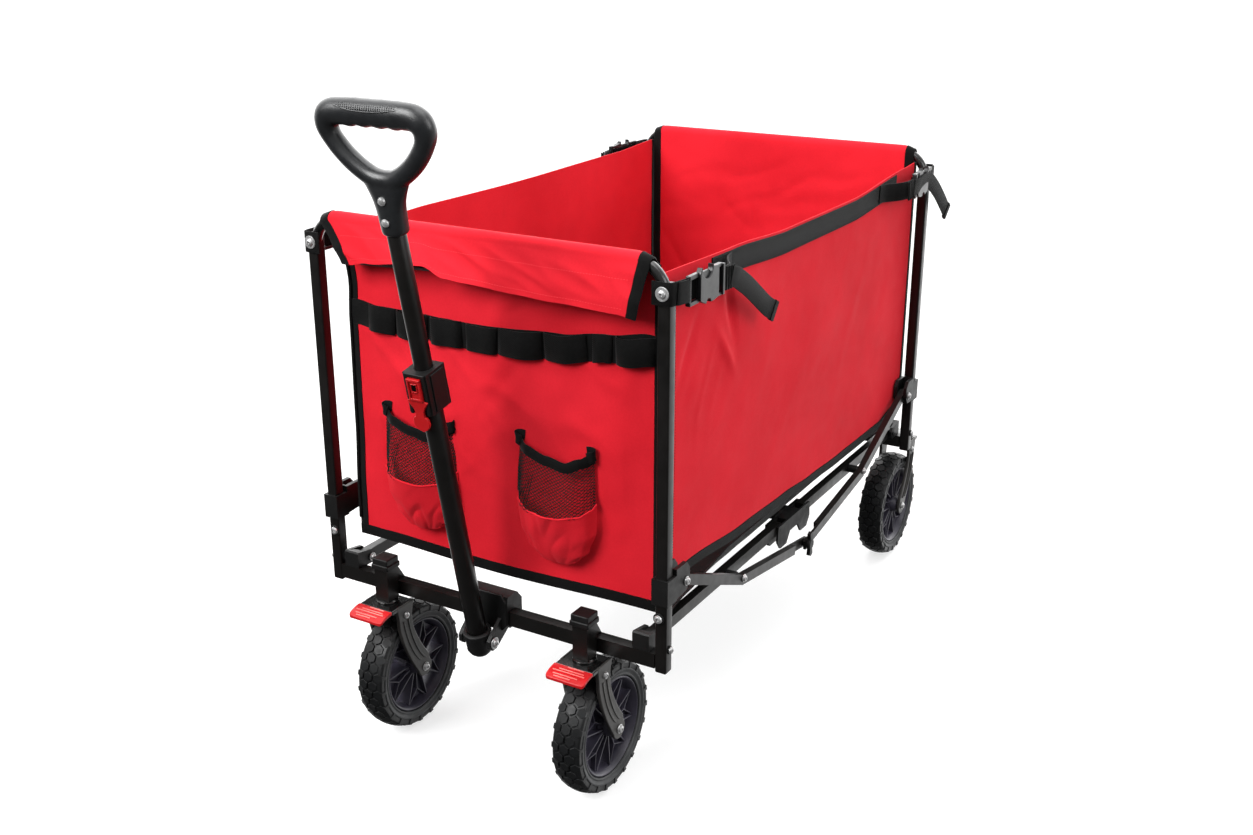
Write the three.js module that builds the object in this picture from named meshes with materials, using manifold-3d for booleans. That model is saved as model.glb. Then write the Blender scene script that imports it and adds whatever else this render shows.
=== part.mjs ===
// Folding wagon with a pull handle.
//
// Millimetres, +X to the wagon's right, +Y to its rear, +Z up. The handle and the two swivelling casters are
// at -Y, the two fixed wheels at +Y. Everything is drawn with y = 0 midway between the posts, and moved
// at the end so that the origin is on the ground, under the middle of the whole wagon with its handle.
import * as THREE from 'three';
import { mergeVertices } from 'three/addons/utils/BufferGeometryUtils.js';
import Module from 'manifold-3d';

const wasm = await Module();
wasm.setup();

// ---- Driving dimensions ----
const GAP = 0.3; // clearance between pieces that touch
const TO_ORIGIN = 43.3; // from midway between the posts to the middle of the wagon with its handle

const POST_X = 260; // post centre, either side
const POST_Y = 440; // post centre, front and rear
const TUBE = 16; // side of the square frame tube
const FRAME_BOTTOM = 208;
const HOOP_TOP = 733; // top face of the hoop's cross tube
const HOOP_BEND = 50; // outer radius of the hoop's corners

const CROSSBAR_LOW = 212;
const CROSSBAR_HIGH = 232;

const WHEEL_R = 92;
const WHEEL_WIDTH = 42;
const RIM_R = 68; // where the tyre meets the hub
const AXLE_R = 4;
const FORK_INNER = 23; // half the space between a fork's legs
const FORK_LEG = 5; // thickness of a fork's leg
const FORK_PLATE_TOP = 206;
const FORK_PLATE_LOW = 200;
const FORK_TRAIL = 38; // axle behind the swivel axis

const CASTER_X = 159;
const CASTER_Y = -462; // swivel axis
const STEM = 22; // side of the caster's square stem
const STEM_BOTTOM = 209;
const STEM_TOP = 268;

const REAR_WHEEL_X = 228;
const REAR_FORK_Y = 496;

const FLOOR_PIVOT_Y = 420; // floor bars turn in the brackets here
const FLOOR_PIVOT_Z = 240;
const HUB_PIVOT_Y = 48; // floor bars turn in the hubs here
const BAR_X = 232; // floor bar centre
const BAR_WIDTH = 12;
const BAR_HEIGHT = 16;

const SLIDER_PIVOT_Y = 404; // link pivot on a slider
const SLIDER_PIVOT_Z = 319;
const SLIDER_HEIGHT = 34;
const SLIDER_WALL = 3.4;
const CROSS_Y = 223; // where a link crosses its floor bar
const KNOB_Z = 205; // where front and rear links meet, at y = 0
const LINK_HEIGHT = 14;
const PIVOT_PIN_R = 3; // pins of the floor bars and links
const PIVOT_BORE_R = 3.4;

const WALL = 3; // thickness allowed for a fabric wall
const DRAPE = 1.5; // space between the fabric and the tube it hangs over
const WALL_LOW = 282;
const WALL_HIGH = 690;
const SIDE_WALL_X = 243; // inner face
const END_WALL_Y = 428.5; // inner face
const END_WALL_HALF = 240;
const FLAP_LOW = 662;
const POCKET_RIGHT_X = 104; // middle of each pocket
const POCKET_LEFT_X = -108;
const POCKET_HALF = 56;
const POCKET_DEPTH = 17;
const POCKET_LOW = 292;
const POCKET_HIGH = 400;
const BUCKLE_Y = -361; // middle of a front buckle
const BUCKLE_Z = 689;

const HANDLE_LEAN = THREE.MathUtils.degToRad(12);
const HANDLE_FOOT = new THREE.Vector3(0, -471, 197); // a point on the handle's own axis
const HANDLE_PIVOT_Y = -470.6; // on the handle's axis, through the end of its tube
const HANDLE_PIVOT_Z = 195;
const EAR_INNER = 20; // half the space between the handle bracket's ears
const EAR_OUTER = 25;
const EAR_BORE_R = 4.4;
const HANDLE_PIN_R = 4;
const OUTER_TUBE_R = 13;
const OUTER_TUBE_WALL = 1.5;
const INNER_TUBE_R = 11.2;
const INNER_TUBE_WALL = 1.5;
const OUTER_TUBE_TOP = 398; // this and the five below are heights along the handle's own axis
const COLLAR_LOW = 352;
const COLLAR_HIGH = 406;
const INNER_TUBE_LOW = 190;
const INNER_TUBE_HIGH = 592;
const NECK_LOW = 574;
const COLLAR_FRONT = -19;

// ---- Finishes ----
function finish(color, roughness, metalness) {
  return new THREE.MeshStandardMaterial({ color, roughness, metalness });
}

const steelBlack = finish(0x1b1a1a, 0.42, 0.6);
const plasticBlack = finish(0x17181a, 0.55, 0);
const plasticGloss = finish(0x101113, 0.25, 0);
const plasticRed = finish(0xc81f26, 0.4, 0);
const fabricRed = finish(0xd32030, 0.8, 0);
const fabricBlack = finish(0x141414, 0.9, 0);
const tyreBlack = finish(0x151617, 0.8, 0);
const hubGrey = finish(0x24232b, 0.5, 0);
const zinc = finish(0xb9bcc0, 0.3, 1);

// ---- Small geometry helpers ----
const wagon = new THREE.Group();

function place(name, geometry, material) {
  const mesh = new THREE.Mesh(geometry, material);
  mesh.name = name;
  wagon.add(mesh);
  return mesh;
}

function solid(geometry) {
  const bare = geometry.clone();
  bare.deleteAttribute('normal');
  bare.deleteAttribute('uv');
  const merged = mergeVertices(bare, 1e-4);
  const mesh = new wasm.Mesh({
    numProp: 3,
    vertProperties: new Float32Array(merged.attributes.position.array),
    triVerts: new Uint32Array(merged.index.array),
  });
  return new wasm.Manifold(mesh);
}

function shell(manifold) {
  const mesh = manifold.getMesh();
  const geometry = new THREE.BufferGeometry();
  geometry.setAttribute('position', new THREE.BufferAttribute(new Float32Array(mesh.vertProperties), 3));
  geometry.setIndex(new THREE.BufferAttribute(new Uint32Array(mesh.triVerts), 1));
  return geometry;
}

function join(...geometries) {
  return shell(geometries.map(solid).reduce((sum, next) => sum.add(next)));
}

function cut(body, ...tools) {
  return shell(tools.map(solid).reduce((rest, tool) => rest.subtract(tool), solid(body)));
}

function block([x0, x1], [y0, y1], [z0, z1]) {
  const geometry = new THREE.BoxGeometry(x1 - x0, y1 - y0, z1 - z0);
  return geometry.translate((x0 + x1) / 2, (y0 + y1) / 2, (z0 + z1) / 2);
}

function outline(points) {
  return new THREE.Shape(points.map(([a, b]) => new THREE.Vector2(a, b)));
}

// A shape drawn in Y and Z, from x0 to x1.
function alongX(shape, x0, x1, curveSegments = 6) {
  const geometry = new THREE.ExtrudeGeometry(shape, { depth: x1 - x0, bevelEnabled: false, curveSegments });
  const turn = new THREE.Matrix4().makeBasis(
    new THREE.Vector3(0, 1, 0),
    new THREE.Vector3(0, 0, 1),
    new THREE.Vector3(1, 0, 0),
  );
  return geometry.applyMatrix4(turn).translate(x0, 0, 0);
}

// A shape drawn in X and Z, from y0 to y1.
function alongY(shape, y0, y1, curveSegments = 6) {
  const geometry = new THREE.ExtrudeGeometry(shape, { depth: y1 - y0, bevelEnabled: false, curveSegments });
  return geometry.rotateX(Math.PI / 2).translate(0, y1, 0);
}

function rodX(radius, x0, x1, y, z, sides = 16) {
  const geometry = new THREE.CylinderGeometry(radius, radius, x1 - x0, sides);
  return geometry.rotateZ(-Math.PI / 2).translate((x0 + x1) / 2, y, z);
}

function rodZ(radius, z0, z1, x, y, sides = 20) {
  const geometry = new THREE.CylinderGeometry(radius, radius, z1 - z0, sides);
  return geometry.rotateX(Math.PI / 2).translate(x, y, (z0 + z1) / 2);
}

// A closed profile of [radius, x] points turned about a line along X.
function turnedX(profile, x, y, z, sides) {
  const points = [...profile, profile[0]].map(([radius, along]) => new THREE.Vector2(radius, along));
  return new THREE.LatheGeometry(points, sides).rotateZ(-Math.PI / 2).translate(x, y, z);
}

// The same geometry on the other side of the plane with this normal axis.
function mirrored(geometry, axis) {
  const scale = { x: [-1, 1, 1], y: [1, -1, 1] }[axis];
  const copy = (geometry.index ? geometry.clone() : mergeVertices(geometry)).scale(...scale);
  const order = Array.from(copy.index.array);
  for (let i = 0; i < order.length; i += 3) {
    [order[i], order[i + 1]] = [order[i + 1], order[i]];
  }
  copy.setIndex(order);
  return copy;
}

// Makes a right-hand piece and its left-hand mirror image.
function pair(name, geometry, material) {
  place(`${name}_right`, geometry, material);
  place(`${name}_left`, mirrored(geometry, 'x'), material);
}

// ---- Frame ends ----
function hoop() {
  const out = POST_X + TUBE / 2;
  const inn = POST_X - TUBE / 2;
  const low = HOOP_TOP - TUBE;
  const shape = new THREE.Shape();
  shape.moveTo(-out, FRAME_BOTTOM);
  shape.lineTo(-inn, FRAME_BOTTOM);
  shape.lineTo(-inn, HOOP_TOP - HOOP_BEND);
  shape.absarc(-out + HOOP_BEND, HOOP_TOP - HOOP_BEND, HOOP_BEND - TUBE, Math.PI, Math.PI / 2, true);
  shape.lineTo(out - HOOP_BEND, low);
  shape.absarc(out - HOOP_BEND, HOOP_TOP - HOOP_BEND, HOOP_BEND - TUBE, Math.PI / 2, 0, true);
  shape.lineTo(inn, FRAME_BOTTOM);
  shape.lineTo(out, FRAME_BOTTOM);
  shape.lineTo(out, HOOP_TOP - HOOP_BEND);
  shape.absarc(out - HOOP_BEND, HOOP_TOP - HOOP_BEND, HOOP_BEND, 0, Math.PI / 2, false);
  shape.lineTo(-out + HOOP_BEND, HOOP_TOP);
  shape.absarc(-out + HOOP_BEND, HOOP_TOP - HOOP_BEND, HOOP_BEND, Math.PI / 2, Math.PI, false);
  shape.lineTo(-out, FRAME_BOTTOM);
  return alongY(shape, -POST_Y - TUBE / 2, -POST_Y + TUBE / 2);
}

const crossbarHalf = POST_X - TUBE / 2 - GAP;
const barFront = -POST_Y - TUBE / 2;
const barRear = -POST_Y + TUBE / 2;

function frontCrossbar() {
  const bar = block([-crossbarHalf, crossbarHalf], [barFront, barRear], [CROSSBAR_LOW, CROSSBAR_HIGH]);
  const parts = [bar];
  for (const side of [-1, 1]) {
    const x = side * CASTER_X;
    const half = STEM / 2;
    const rear = CASTER_Y + half;
    parts.push(block([x - half, x + half], [CASTER_Y - half, rear], [STEM_BOTTOM, STEM_TOP]));
    const gusset = outline([
      [rear - 1, CROSSBAR_LOW],
      [barRear, CROSSBAR_LOW],
      [barRear, CROSSBAR_HIGH],
      [rear, STEM_TOP - 6],
      [rear - 1, STEM_TOP - 6],
    ]);
    parts.push(alongX(gusset, x - 7, x + 7));
  }
  return join(...parts);
}

function rearCrossbar() {
  const bar = block([-crossbarHalf, crossbarHalf], [-barRear, -barFront], [CROSSBAR_LOW, CROSSBAR_HIGH]);
  const parts = [bar];
  for (const side of [-1, 1]) {
    const x = side * REAR_WHEEL_X;
    const reach = REAR_FORK_Y + 22;
    const step = POST_Y + TUBE / 2 + GAP;
    const shelf = outline([
      [POST_Y, CROSSBAR_LOW],
      [step, FORK_PLATE_TOP + GAP],
      [reach, FORK_PLATE_TOP + GAP],
      [reach, FORK_PLATE_TOP + 8],
      [step, CROSSBAR_HIGH - 2],
      [POST_Y, CROSSBAR_HIGH - 2],
    ]);
    parts.push(alongX(shelf, x - 20, x + 20));
  }
  return join(...parts);
}

// Plastic clevis on the crossbar that holds a floor bar's end. Its bolt is part of it.
function floorBracket() {
  const inner = BAR_X - BAR_WIDTH / 2 - 1;
  const outer = BAR_X + BAR_WIDTH / 2 + 1;
  const low = CROSSBAR_HIGH + GAP;
  const cheek = outline([
    [barFront, low],
    [barRear + GAP, low],
    [barRear + GAP, FLOOR_PIVOT_Z - 9],
    [-FLOOR_PIVOT_Y + 3, FLOOR_PIVOT_Z - 9],
    [-FLOOR_PIVOT_Y + 9, FLOOR_PIVOT_Z - 3],
    [-FLOOR_PIVOT_Y + 9, FLOOR_PIVOT_Z + 5],
    [-FLOOR_PIVOT_Y + 3, FLOOR_PIVOT_Z + 11],
    [barFront + 2, FLOOR_PIVOT_Z + 16],
    [barFront, FLOOR_PIVOT_Z + 14],
  ]);
  const face = outline([
    [barFront, low],
    [barRear - 2, low],
    [barRear - 2, FLOOR_PIVOT_Z + 13],
    [barFront + 2, FLOOR_PIVOT_Z + 16],
    [barFront, FLOOR_PIVOT_Z + 14],
  ]);
  return join(
    alongX(cheek, inner - 5, inner),
    alongX(cheek, outer, outer + 5),
    alongX(face, inner - 1, outer + 1),
    rodX(PIVOT_PIN_R, inner - 8, outer + 6, -FLOOR_PIVOT_Y, FLOOR_PIVOT_Z, 12),
  );
}

// ---- Floor ----
function floorBar() {
  const end = -HUB_PIVOT_Y + 8;
  const start = -FLOOR_PIVOT_Y - 8;
  const bar = block(
    [BAR_X - BAR_WIDTH / 2, BAR_X + BAR_WIDTH / 2],
    [start, end],
    [FLOOR_PIVOT_Z - BAR_HEIGHT / 2, FLOOR_PIVOT_Z + BAR_HEIGHT / 2],
  );
  const hole = (y) => rodX(PIVOT_BORE_R, BAR_X - 20, BAR_X + 20, -y, FLOOR_PIVOT_Z, 12);
  return cut(bar, hole(FLOOR_PIVOT_Y), hole(HUB_PIVOT_Y));
}

const FLOOR_TOP = FLOOR_PIVOT_Z + BAR_HEIGHT / 2 + 1;
const BOARD_THICKNESS = 5;
const BOARD_HALF = BAR_X - BAR_WIDTH / 2 - 7;
const HUB_PLATE_HALF = 23;

function floorBoard() {
  const y = [-FLOOR_PIVOT_Y + 15, -HUB_PLATE_HALF - 1];
  return block([-BOARD_HALF, BOARD_HALF], y, [FLOOR_TOP - BOARD_THICKNESS, FLOOR_TOP]);
}

// The hub between front and rear floor bars: a yoke at each side, with a knuckle under each pivot,
// and a plate across the wagon that carries the middle of the floor.
function floorHub() {
  const inner = BAR_X - BAR_WIDTH / 2 - 1;
  const outer = BAR_X + BAR_WIDTH / 2 + 1;
  const y = HUB_PIVOT_Y;
  const z = FLOOR_PIVOT_Z;
  const cheek = outline([
    [-y - 9, z + 7],
    [-y - 11, z - 16],
    [-y, z - 30],
    [-y + 22, z - 30],
    [-y + 34, z - 14],
    [y - 34, z - 14],
    [y - 22, z - 30],
    [y, z - 30],
    [y + 11, z - 16],
    [y + 9, z + 7],
  ]);
  const web = block([inner - 1, outer + 1], [-y + 24, y - 24], [z - 14, z + 7]);
  const right = [
    alongX(cheek, inner - 5, inner),
    alongX(cheek, outer, outer + 3),
    web,
    rodX(PIVOT_PIN_R, inner - 7, outer + 3.2, -y, z, 12),
    rodX(PIVOT_PIN_R, inner - 7, outer + 3.2, y, z, 12),
  ];
  const left = right.map((piece) => mirrored(piece, 'x'));
  const reach = inner - 4;
  const plate = block([-reach, reach], [-HUB_PLATE_HALF, HUB_PLATE_HALF], [FLOOR_TOP - 7, FLOOR_TOP - 1]);
  return join(plate, ...right, ...left);
}

// ---- Sliders and side links ----
const linkInner = POST_X - 5;
const linkOuter = POST_X + 5;

function slider() {
  const half = TUBE / 2;
  const wall = SLIDER_WALL;
  const low = SLIDER_PIVOT_Z - SLIDER_HEIGHT / 2;
  const high = SLIDER_PIVOT_Z + SLIDER_HEIGHT / 2;
  const x = [POST_X - half - wall, POST_X + half + wall];
  const y = [-POST_Y - half - wall, -POST_Y + half + wall + 1];
  const sleeve = block(x, y, [low, high]);
  const ear = outline([
    [y[1] - 1, low + 2],
    [-SLIDER_PIVOT_Y + 2, low + 4],
    [-SLIDER_PIVOT_Y + 10, SLIDER_PIVOT_Z - 2],
    [-SLIDER_PIVOT_Y + 10, high - 2],
    [-SLIDER_PIVOT_Y + 2, high + 8],
    [y[1] - 1, high + 8],
  ]);
  const bore = block(
    [POST_X - half - GAP, POST_X + half + GAP],
    [-POST_Y - half - GAP, -POST_Y + half + GAP],
    [low - 5, high + 20],
  );
  const body = join(
    sleeve,
    alongX(ear, x[0], linkInner - 0.8),
    alongX(ear, linkOuter + 0.8, x[1]),
    block([x[0], x[1]], [y[1] - 1, y[1] + 2], [low + 2, high + 8]),
    rodX(PIVOT_PIN_R, x[0] + 1, x[1] + 1.5, -SLIDER_PIVOT_Y, SLIDER_PIVOT_Z, 12),
  );
  return cut(body, bore);
}

// A bent link from a slider, past its floor bar, to the knob at mid length. Its far end is a flat tab,
// on the inner side for the front links and the outer side for the rear ones.
function link(tab) {
  const h = LINK_HEIGHT / 2;
  const start = new THREE.Vector2(-SLIDER_PIVOT_Y, SLIDER_PIVOT_Z);
  const bend = new THREE.Vector2(-CROSS_Y, FLOOR_PIVOT_Z);
  const end = new THREE.Vector2(0, KNOB_Z);
  const first = bend.clone().sub(start).normalize();
  const second = end.clone().sub(bend).normalize();
  const up = (direction) => new THREE.Vector2(-direction.y, direction.x).multiplyScalar(h);
  const mid = first.clone().add(second).normalize();
  const mitre = up(mid).multiplyScalar(1 / mid.dot(first));
  const tabStart = end.clone().sub(second.clone().multiplyScalar(46));
  const bar = new THREE.Shape([
    start.clone().sub(up(first)).sub(first.clone().multiplyScalar(7)),
    bend.clone().sub(mitre),
    tabStart.clone().sub(up(second)),
    tabStart.clone().add(up(second)),
    bend.clone().add(mitre),
    start.clone().add(up(first)).sub(first.clone().multiplyScalar(7)),
  ]);
  const flat = new THREE.Shape([
    tabStart.clone().sub(second).sub(up(second)),
    end.clone().add(second.clone().multiplyScalar(8)).sub(up(second)),
    end.clone().add(second.clone().multiplyScalar(8)).add(up(second)),
    tabStart.clone().sub(second).add(up(second)),
  ]);
  const body = join(alongX(bar, linkInner, linkOuter), alongX(flat, ...tab));
  return cut(body, rodX(PIVOT_BORE_R, linkInner - 5, linkOuter + 5, start.x, start.y, 12));
}

// ---- Wheels and forks ----
function tyre(x, y) {
  const half = WHEEL_WIDTH / 2;
  const profile = [
    [RIM_R, -half + 5],
    [RIM_R + 8, -half + 1],
    [WHEEL_R - 7, -half],
    [WHEEL_R - 1, -half + 5],
    [WHEEL_R, -6],
    [WHEEL_R, 6],
    [WHEEL_R - 1, half - 5],
    [WHEEL_R - 7, half],
    [RIM_R + 8, half - 1],
    [RIM_R, half - 5],
  ];
  return turnedX(profile, x, y, WHEEL_R, 36);
}

// Rim ring, five spokes and a boss that is bored for the axle.
function wheelHub(x, y) {
  const half = WHEEL_WIDTH / 2;
  const rim = turnedX(
    [
      [RIM_R - 7, -half + 6],
      [RIM_R - GAP, -half + 6],
      [RIM_R - GAP, half - 6],
      [RIM_R - 7, half - 6],
    ],
    x,
    y,
    WHEEL_R,
    30,
  );
  const boss = rodX(15, x - FORK_INNER + 1, x + FORK_INNER - 1, y, WHEEL_R, 20);
  const spokes = Array.from({ length: 5 }, (_, i) => {
    const spoke = block([-9, 9], [-8, 8], [10, RIM_R - 4]);
    return spoke.rotateX((i * 2 * Math.PI) / 5).translate(x, y, WHEEL_R);
  });
  return cut(join(rim, boss, ...spokes), rodX(AXLE_R + GAP, x - 40, x + 40, y, WHEEL_R, 16));
}

// One leg of a fork in Y and Z. The axle is FORK_TRAIL behind the swivel axis at y = 0.
function legOutline() {
  const shape = new THREE.Shape();
  shape.moveTo(-17, FORK_PLATE_LOW + 3);
  shape.lineTo(-14, 172);
  shape.quadraticCurveTo(-4, 120, FORK_TRAIL - 14, WHEEL_R - 6);
  shape.absarc(FORK_TRAIL, WHEEL_R, 15, Math.PI + 0.4, 2 * Math.PI + 0.7, false);
  shape.quadraticCurveTo(22, 150, 21, FORK_PLATE_LOW + 3);
  shape.closePath();
  return shape;
}

// A fork with its top plate over the origin, and its axle bolt.
function fork() {
  const outer = FORK_INNER + FORK_LEG;
  const plate = block([-outer, outer], [-26, 21], [FORK_PLATE_LOW, FORK_PLATE_TOP]);
  return join(
    plate,
    alongX(legOutline(), FORK_INNER, outer, 5),
    alongX(legOutline(), -outer, -FORK_INNER, 5),
  );
}

function axle(x, y) {
  const reach = FORK_INNER + FORK_LEG;
  return join(
    rodX(AXLE_R, x - reach - 3, x + reach + 3, y, WHEEL_R, 12),
    rodX(6.5, x + reach + GAP, x + reach + 4, y, WHEEL_R, 6),
    rodX(6.5, x - reach - 4, x - reach - GAP, y, WHEEL_R, 6),
  );
}

function boredFork(x, y) {
  const body = join(fork(), rodZ(14, FORK_PLATE_TOP - 1, STEM_BOTTOM - GAP, 0, 0));
  return cut(body, rodX(AXLE_R + GAP, -60, 60, FORK_TRAIL, WHEEL_R, 12)).translate(x, y, 0);
}

function rearFork() {
  const bored = cut(fork(), rodX(AXLE_R + GAP, -60, 60, FORK_TRAIL, WHEEL_R, 12));
  return mirrored(bored, 'y').translate(REAR_WHEEL_X, REAR_FORK_Y, 0);
}

// Foot pedal of a caster's brake, hung in front of the fork's plate.
function brakePedal() {
  const y = CASTER_Y - 26;
  const z = FORK_PLATE_TOP;
  const profile = outline([
    [y - GAP - 1, z + 1],
    [y - 22, z - 4],
    [y - 24, z - 7],
    [y - 20, z - 9],
    [y - GAP - 1, z - 6],
  ]);
  return alongX(profile, CASTER_X - 29, CASTER_X + 29);
}

// ---- Handle, built upright at the origin of its own axis and then leaned forward ----
function leaned(geometry) {
  return geometry.rotateX(HANDLE_LEAN).translate(HANDLE_FOOT.x, HANDLE_FOOT.y, HANDLE_FOOT.z);
}

// A pivot bolt's place in the handle's own axes.
const pivotInHandle = new THREE.Vector3(0, HANDLE_PIVOT_Y, HANDLE_PIVOT_Z)
  .sub(HANDLE_FOOT)
  .applyAxisAngle(new THREE.Vector3(1, 0, 0), -HANDLE_LEAN);

function handlePivotBore() {
  return rodX(EAR_BORE_R, -60, 60, pivotInHandle.y, pivotInHandle.z, 12);
}

function handleSocket() {
  const profile = [
    [0, -25],
    [11, -25],
    [17.5, -15],
    [17.5, 7],
    [19, 8],
    [19, 12],
    [0, 12],
  ].map(([r, z]) => new THREE.Vector2(r, z));
  const cup = new THREE.LatheGeometry(profile, 20).rotateX(Math.PI / 2);
  const well = rodZ(OUTER_TUBE_R + GAP, -18, 30, 0, 0, 20);
  return leaned(cut(cup, well, handlePivotBore()));
}

function tubeZ(outerR, innerR, z0, z1, sides = 20) {
  const profile = [
    [innerR, z0],
    [outerR, z0],
    [outerR, z1],
    [innerR, z1],
    [innerR, z0],
  ].map(([r, z]) => new THREE.Vector2(r, z));
  return new THREE.LatheGeometry(profile, sides).rotateX(Math.PI / 2);
}

function outerTube() {
  const tube = tubeZ(OUTER_TUBE_R, OUTER_TUBE_R - OUTER_TUBE_WALL, -17.5, OUTER_TUBE_TOP);
  return leaned(cut(tube, handlePivotBore()));
}

function innerTube() {
  return leaned(tubeZ(INNER_TUBE_R, INNER_TUBE_R - INNER_TUBE_WALL, INNER_TUBE_LOW, INNER_TUBE_HIGH));
}

function latchCollar() {
  const body = block([-17, 17], [COLLAR_FRONT, 17], [COLLAR_LOW, COLLAR_HIGH]);
  const low = rodZ(OUTER_TUBE_R + GAP, COLLAR_LOW - 5, OUTER_TUBE_TOP + GAP, 0, 0, 20);
  const high = rodZ(INNER_TUBE_R + 2 * GAP, OUTER_TUBE_TOP - 5, COLLAR_HIGH + 5, 0, 0, 20);
  return leaned(cut(body, low, high));
}

function latchLever() {
  const front = COLLAR_FRONT - GAP;
  const plate = new THREE.Shape();
  plate.moveTo(-9, COLLAR_HIGH - 4);
  plate.lineTo(-9, 366);
  plate.lineTo(-11, 350);
  plate.lineTo(-5, 342);
  plate.absarc(0, 333, 9.5, Math.PI - 1.0, 2 * Math.PI + 1.0, false);
  plate.lineTo(5, 342);
  plate.lineTo(11, 350);
  plate.lineTo(9, 366);
  plate.lineTo(9, COLLAR_HIGH - 4);
  plate.closePath();
  return leaned(alongY(plate, front - 4, front, 8));
}

// Closed loop for the hand: wide and flat on top, narrowing to the neck.
function grip() {
  const loop = new THREE.Shape();
  loop.moveTo(-17, NECK_LOW);
  loop.lineTo(-19, 612);
  loop.bezierCurveTo(-40, 632, -84, 680, -84, 706);
  loop.bezierCurveTo(-84, 728, -60, 731, 0, 731);
  loop.bezierCurveTo(60, 731, 84, 728, 84, 706);
  loop.bezierCurveTo(84, 680, 40, 632, 19, 612);
  loop.lineTo(17, NECK_LOW);
  loop.closePath();
  const hand = new THREE.Shape();
  hand.moveTo(0, 650);
  hand.bezierCurveTo(-20, 650, -60, 686, -60, 700);
  hand.bezierCurveTo(-60, 707, -40, 706, 0, 706);
  hand.bezierCurveTo(40, 706, 60, 707, 60, 700);
  hand.bezierCurveTo(60, 686, 20, 650, 0, 650);
  const well = rodZ(INNER_TUBE_R + GAP, NECK_LOW - 5, INNER_TUBE_HIGH + GAP, 0, 0, 20);
  return leaned(cut(alongY(loop, -14, 14, 7), alongY(hand, -20, 20, 7), well));
}

// Plastic bracket clamped round the crossbar, with two ears that carry the handle's pivot.
function handleBracket() {
  const body = outline([
    [barFront - 4, CROSSBAR_LOW + 2],
    [barFront + 2, CROSSBAR_LOW - 4],
    [barRear + 8, CROSSBAR_LOW - 4],
    [barRear + 14, CROSSBAR_LOW + 8],
    [barRear + 14, CROSSBAR_HIGH + 10],
    [barRear + 4, CROSSBAR_HIGH + 22],
    [barFront - 2, CROSSBAR_HIGH + 22],
    [barFront - 4, CROSSBAR_HIGH + 8],
  ]);
  const ear = outline([
    [barRear, CROSSBAR_LOW],
    [barFront - 2, CROSSBAR_LOW + 14],
    [HANDLE_PIVOT_Y - 4, HANDLE_PIVOT_Z + 11],
    [HANDLE_PIVOT_Y - 10, HANDLE_PIVOT_Z + 5],
    [HANDLE_PIVOT_Y - 10, HANDLE_PIVOT_Z - 5],
    [HANDLE_PIVOT_Y - 4, HANDLE_PIVOT_Z - 10],
    [HANDLE_PIVOT_Y + 5, HANDLE_PIVOT_Z - 10],
    [barRear - 2, CROSSBAR_LOW - 7],
  ]);
  const room = block(
    [-100, 100],
    [barFront - GAP, barRear + GAP],
    [CROSSBAR_LOW - GAP, CROSSBAR_HIGH + GAP],
  );
  const ears = [alongX(ear, EAR_INNER, EAR_OUTER), alongX(ear, -EAR_OUTER, -EAR_INNER)];
  const bore = rodX(EAR_BORE_R, -60, 60, HANDLE_PIVOT_Y, HANDLE_PIVOT_Z, 12);
  return cut(join(alongX(body, -34, 34), ...ears), room, bore);
}

function handlePivotBolt() {
  return join(
    rodX(HANDLE_PIN_R, -EAR_OUTER - 2, EAR_OUTER + 2, HANDLE_PIVOT_Y, HANDLE_PIVOT_Z, 12),
    rodX(8, EAR_OUTER + GAP, EAR_OUTER + 4, HANDLE_PIVOT_Y, HANDLE_PIVOT_Z, 16),
    rodX(7, -EAR_OUTER - 5, -EAR_OUTER - GAP, HANDLE_PIVOT_Y, HANDLE_PIVOT_Z, 6),
  );
}

// ---- Fabric ----
// End wall: hangs inside the posts, goes over the hoop's cross tube and down its far side as a flap.
function endWall() {
  const inner = -END_WALL_Y;
  const over = HOOP_TOP + DRAPE;
  const flapOuter = barFront - DRAPE - WALL;
  const wall = outline([
    [inner, WALL_LOW],
    [inner, over + WALL],
    [flapOuter, over + WALL],
    [flapOuter, FLAP_LOW],
    [flapOuter + WALL, FLAP_LOW],
    [flapOuter + WALL, over],
    [inner - WALL, over],
    [inner - WALL, WALL_LOW],
  ]);
  const sheet = alongX(wall, -END_WALL_HALF, END_WALL_HALF);
  // The hoop's bends leave the cross tube here, so the corners are notched round them.
  const notch = (side) => {
    const x0 = POST_X + TUBE / 2 - HOOP_BEND - 3;
    const range = side > 0 ? [x0, 300] : [-300, -x0];
    return block(range, [barFront - DRAPE, barRear + DRAPE], [HOOP_TOP - 90, HOOP_TOP + 20]);
  };
  return cut(sheet, notch(1), notch(-1));
}

// Side walls end short of the end walls, behind the posts.
function sideWall() {
  return block([SIDE_WALL_X, SIDE_WALL_X + WALL], [-END_WALL_Y - 3, END_WALL_Y + 3], [WALL_LOW, WALL_HIGH]);
}

// Open pouch on the front wall's outer face.
function pocket(x) {
  const face = -END_WALL_Y - WALL - GAP;
  const half = POCKET_HALF;
  const outer = block([x - half, x + half], [face - POCKET_DEPTH, face], [POCKET_LOW, POCKET_HIGH]);
  const inner = half - WALL;
  const room = block(
    [x - inner, x + inner],
    [face - POCKET_DEPTH + WALL, face - WALL],
    [POCKET_LOW + WALL, POCKET_HIGH + 20],
  );
  return cut(outer, room);
}

// Side-release buckle on the strap at a corner.
function buckle() {
  const x = POST_X + TUBE / 2 + 3;
  return block([x, x + 10], [BUCKLE_Y - 23, BUCKLE_Y + 23], [BUCKLE_Z - 16, BUCKLE_Z + 16]);
}

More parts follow.
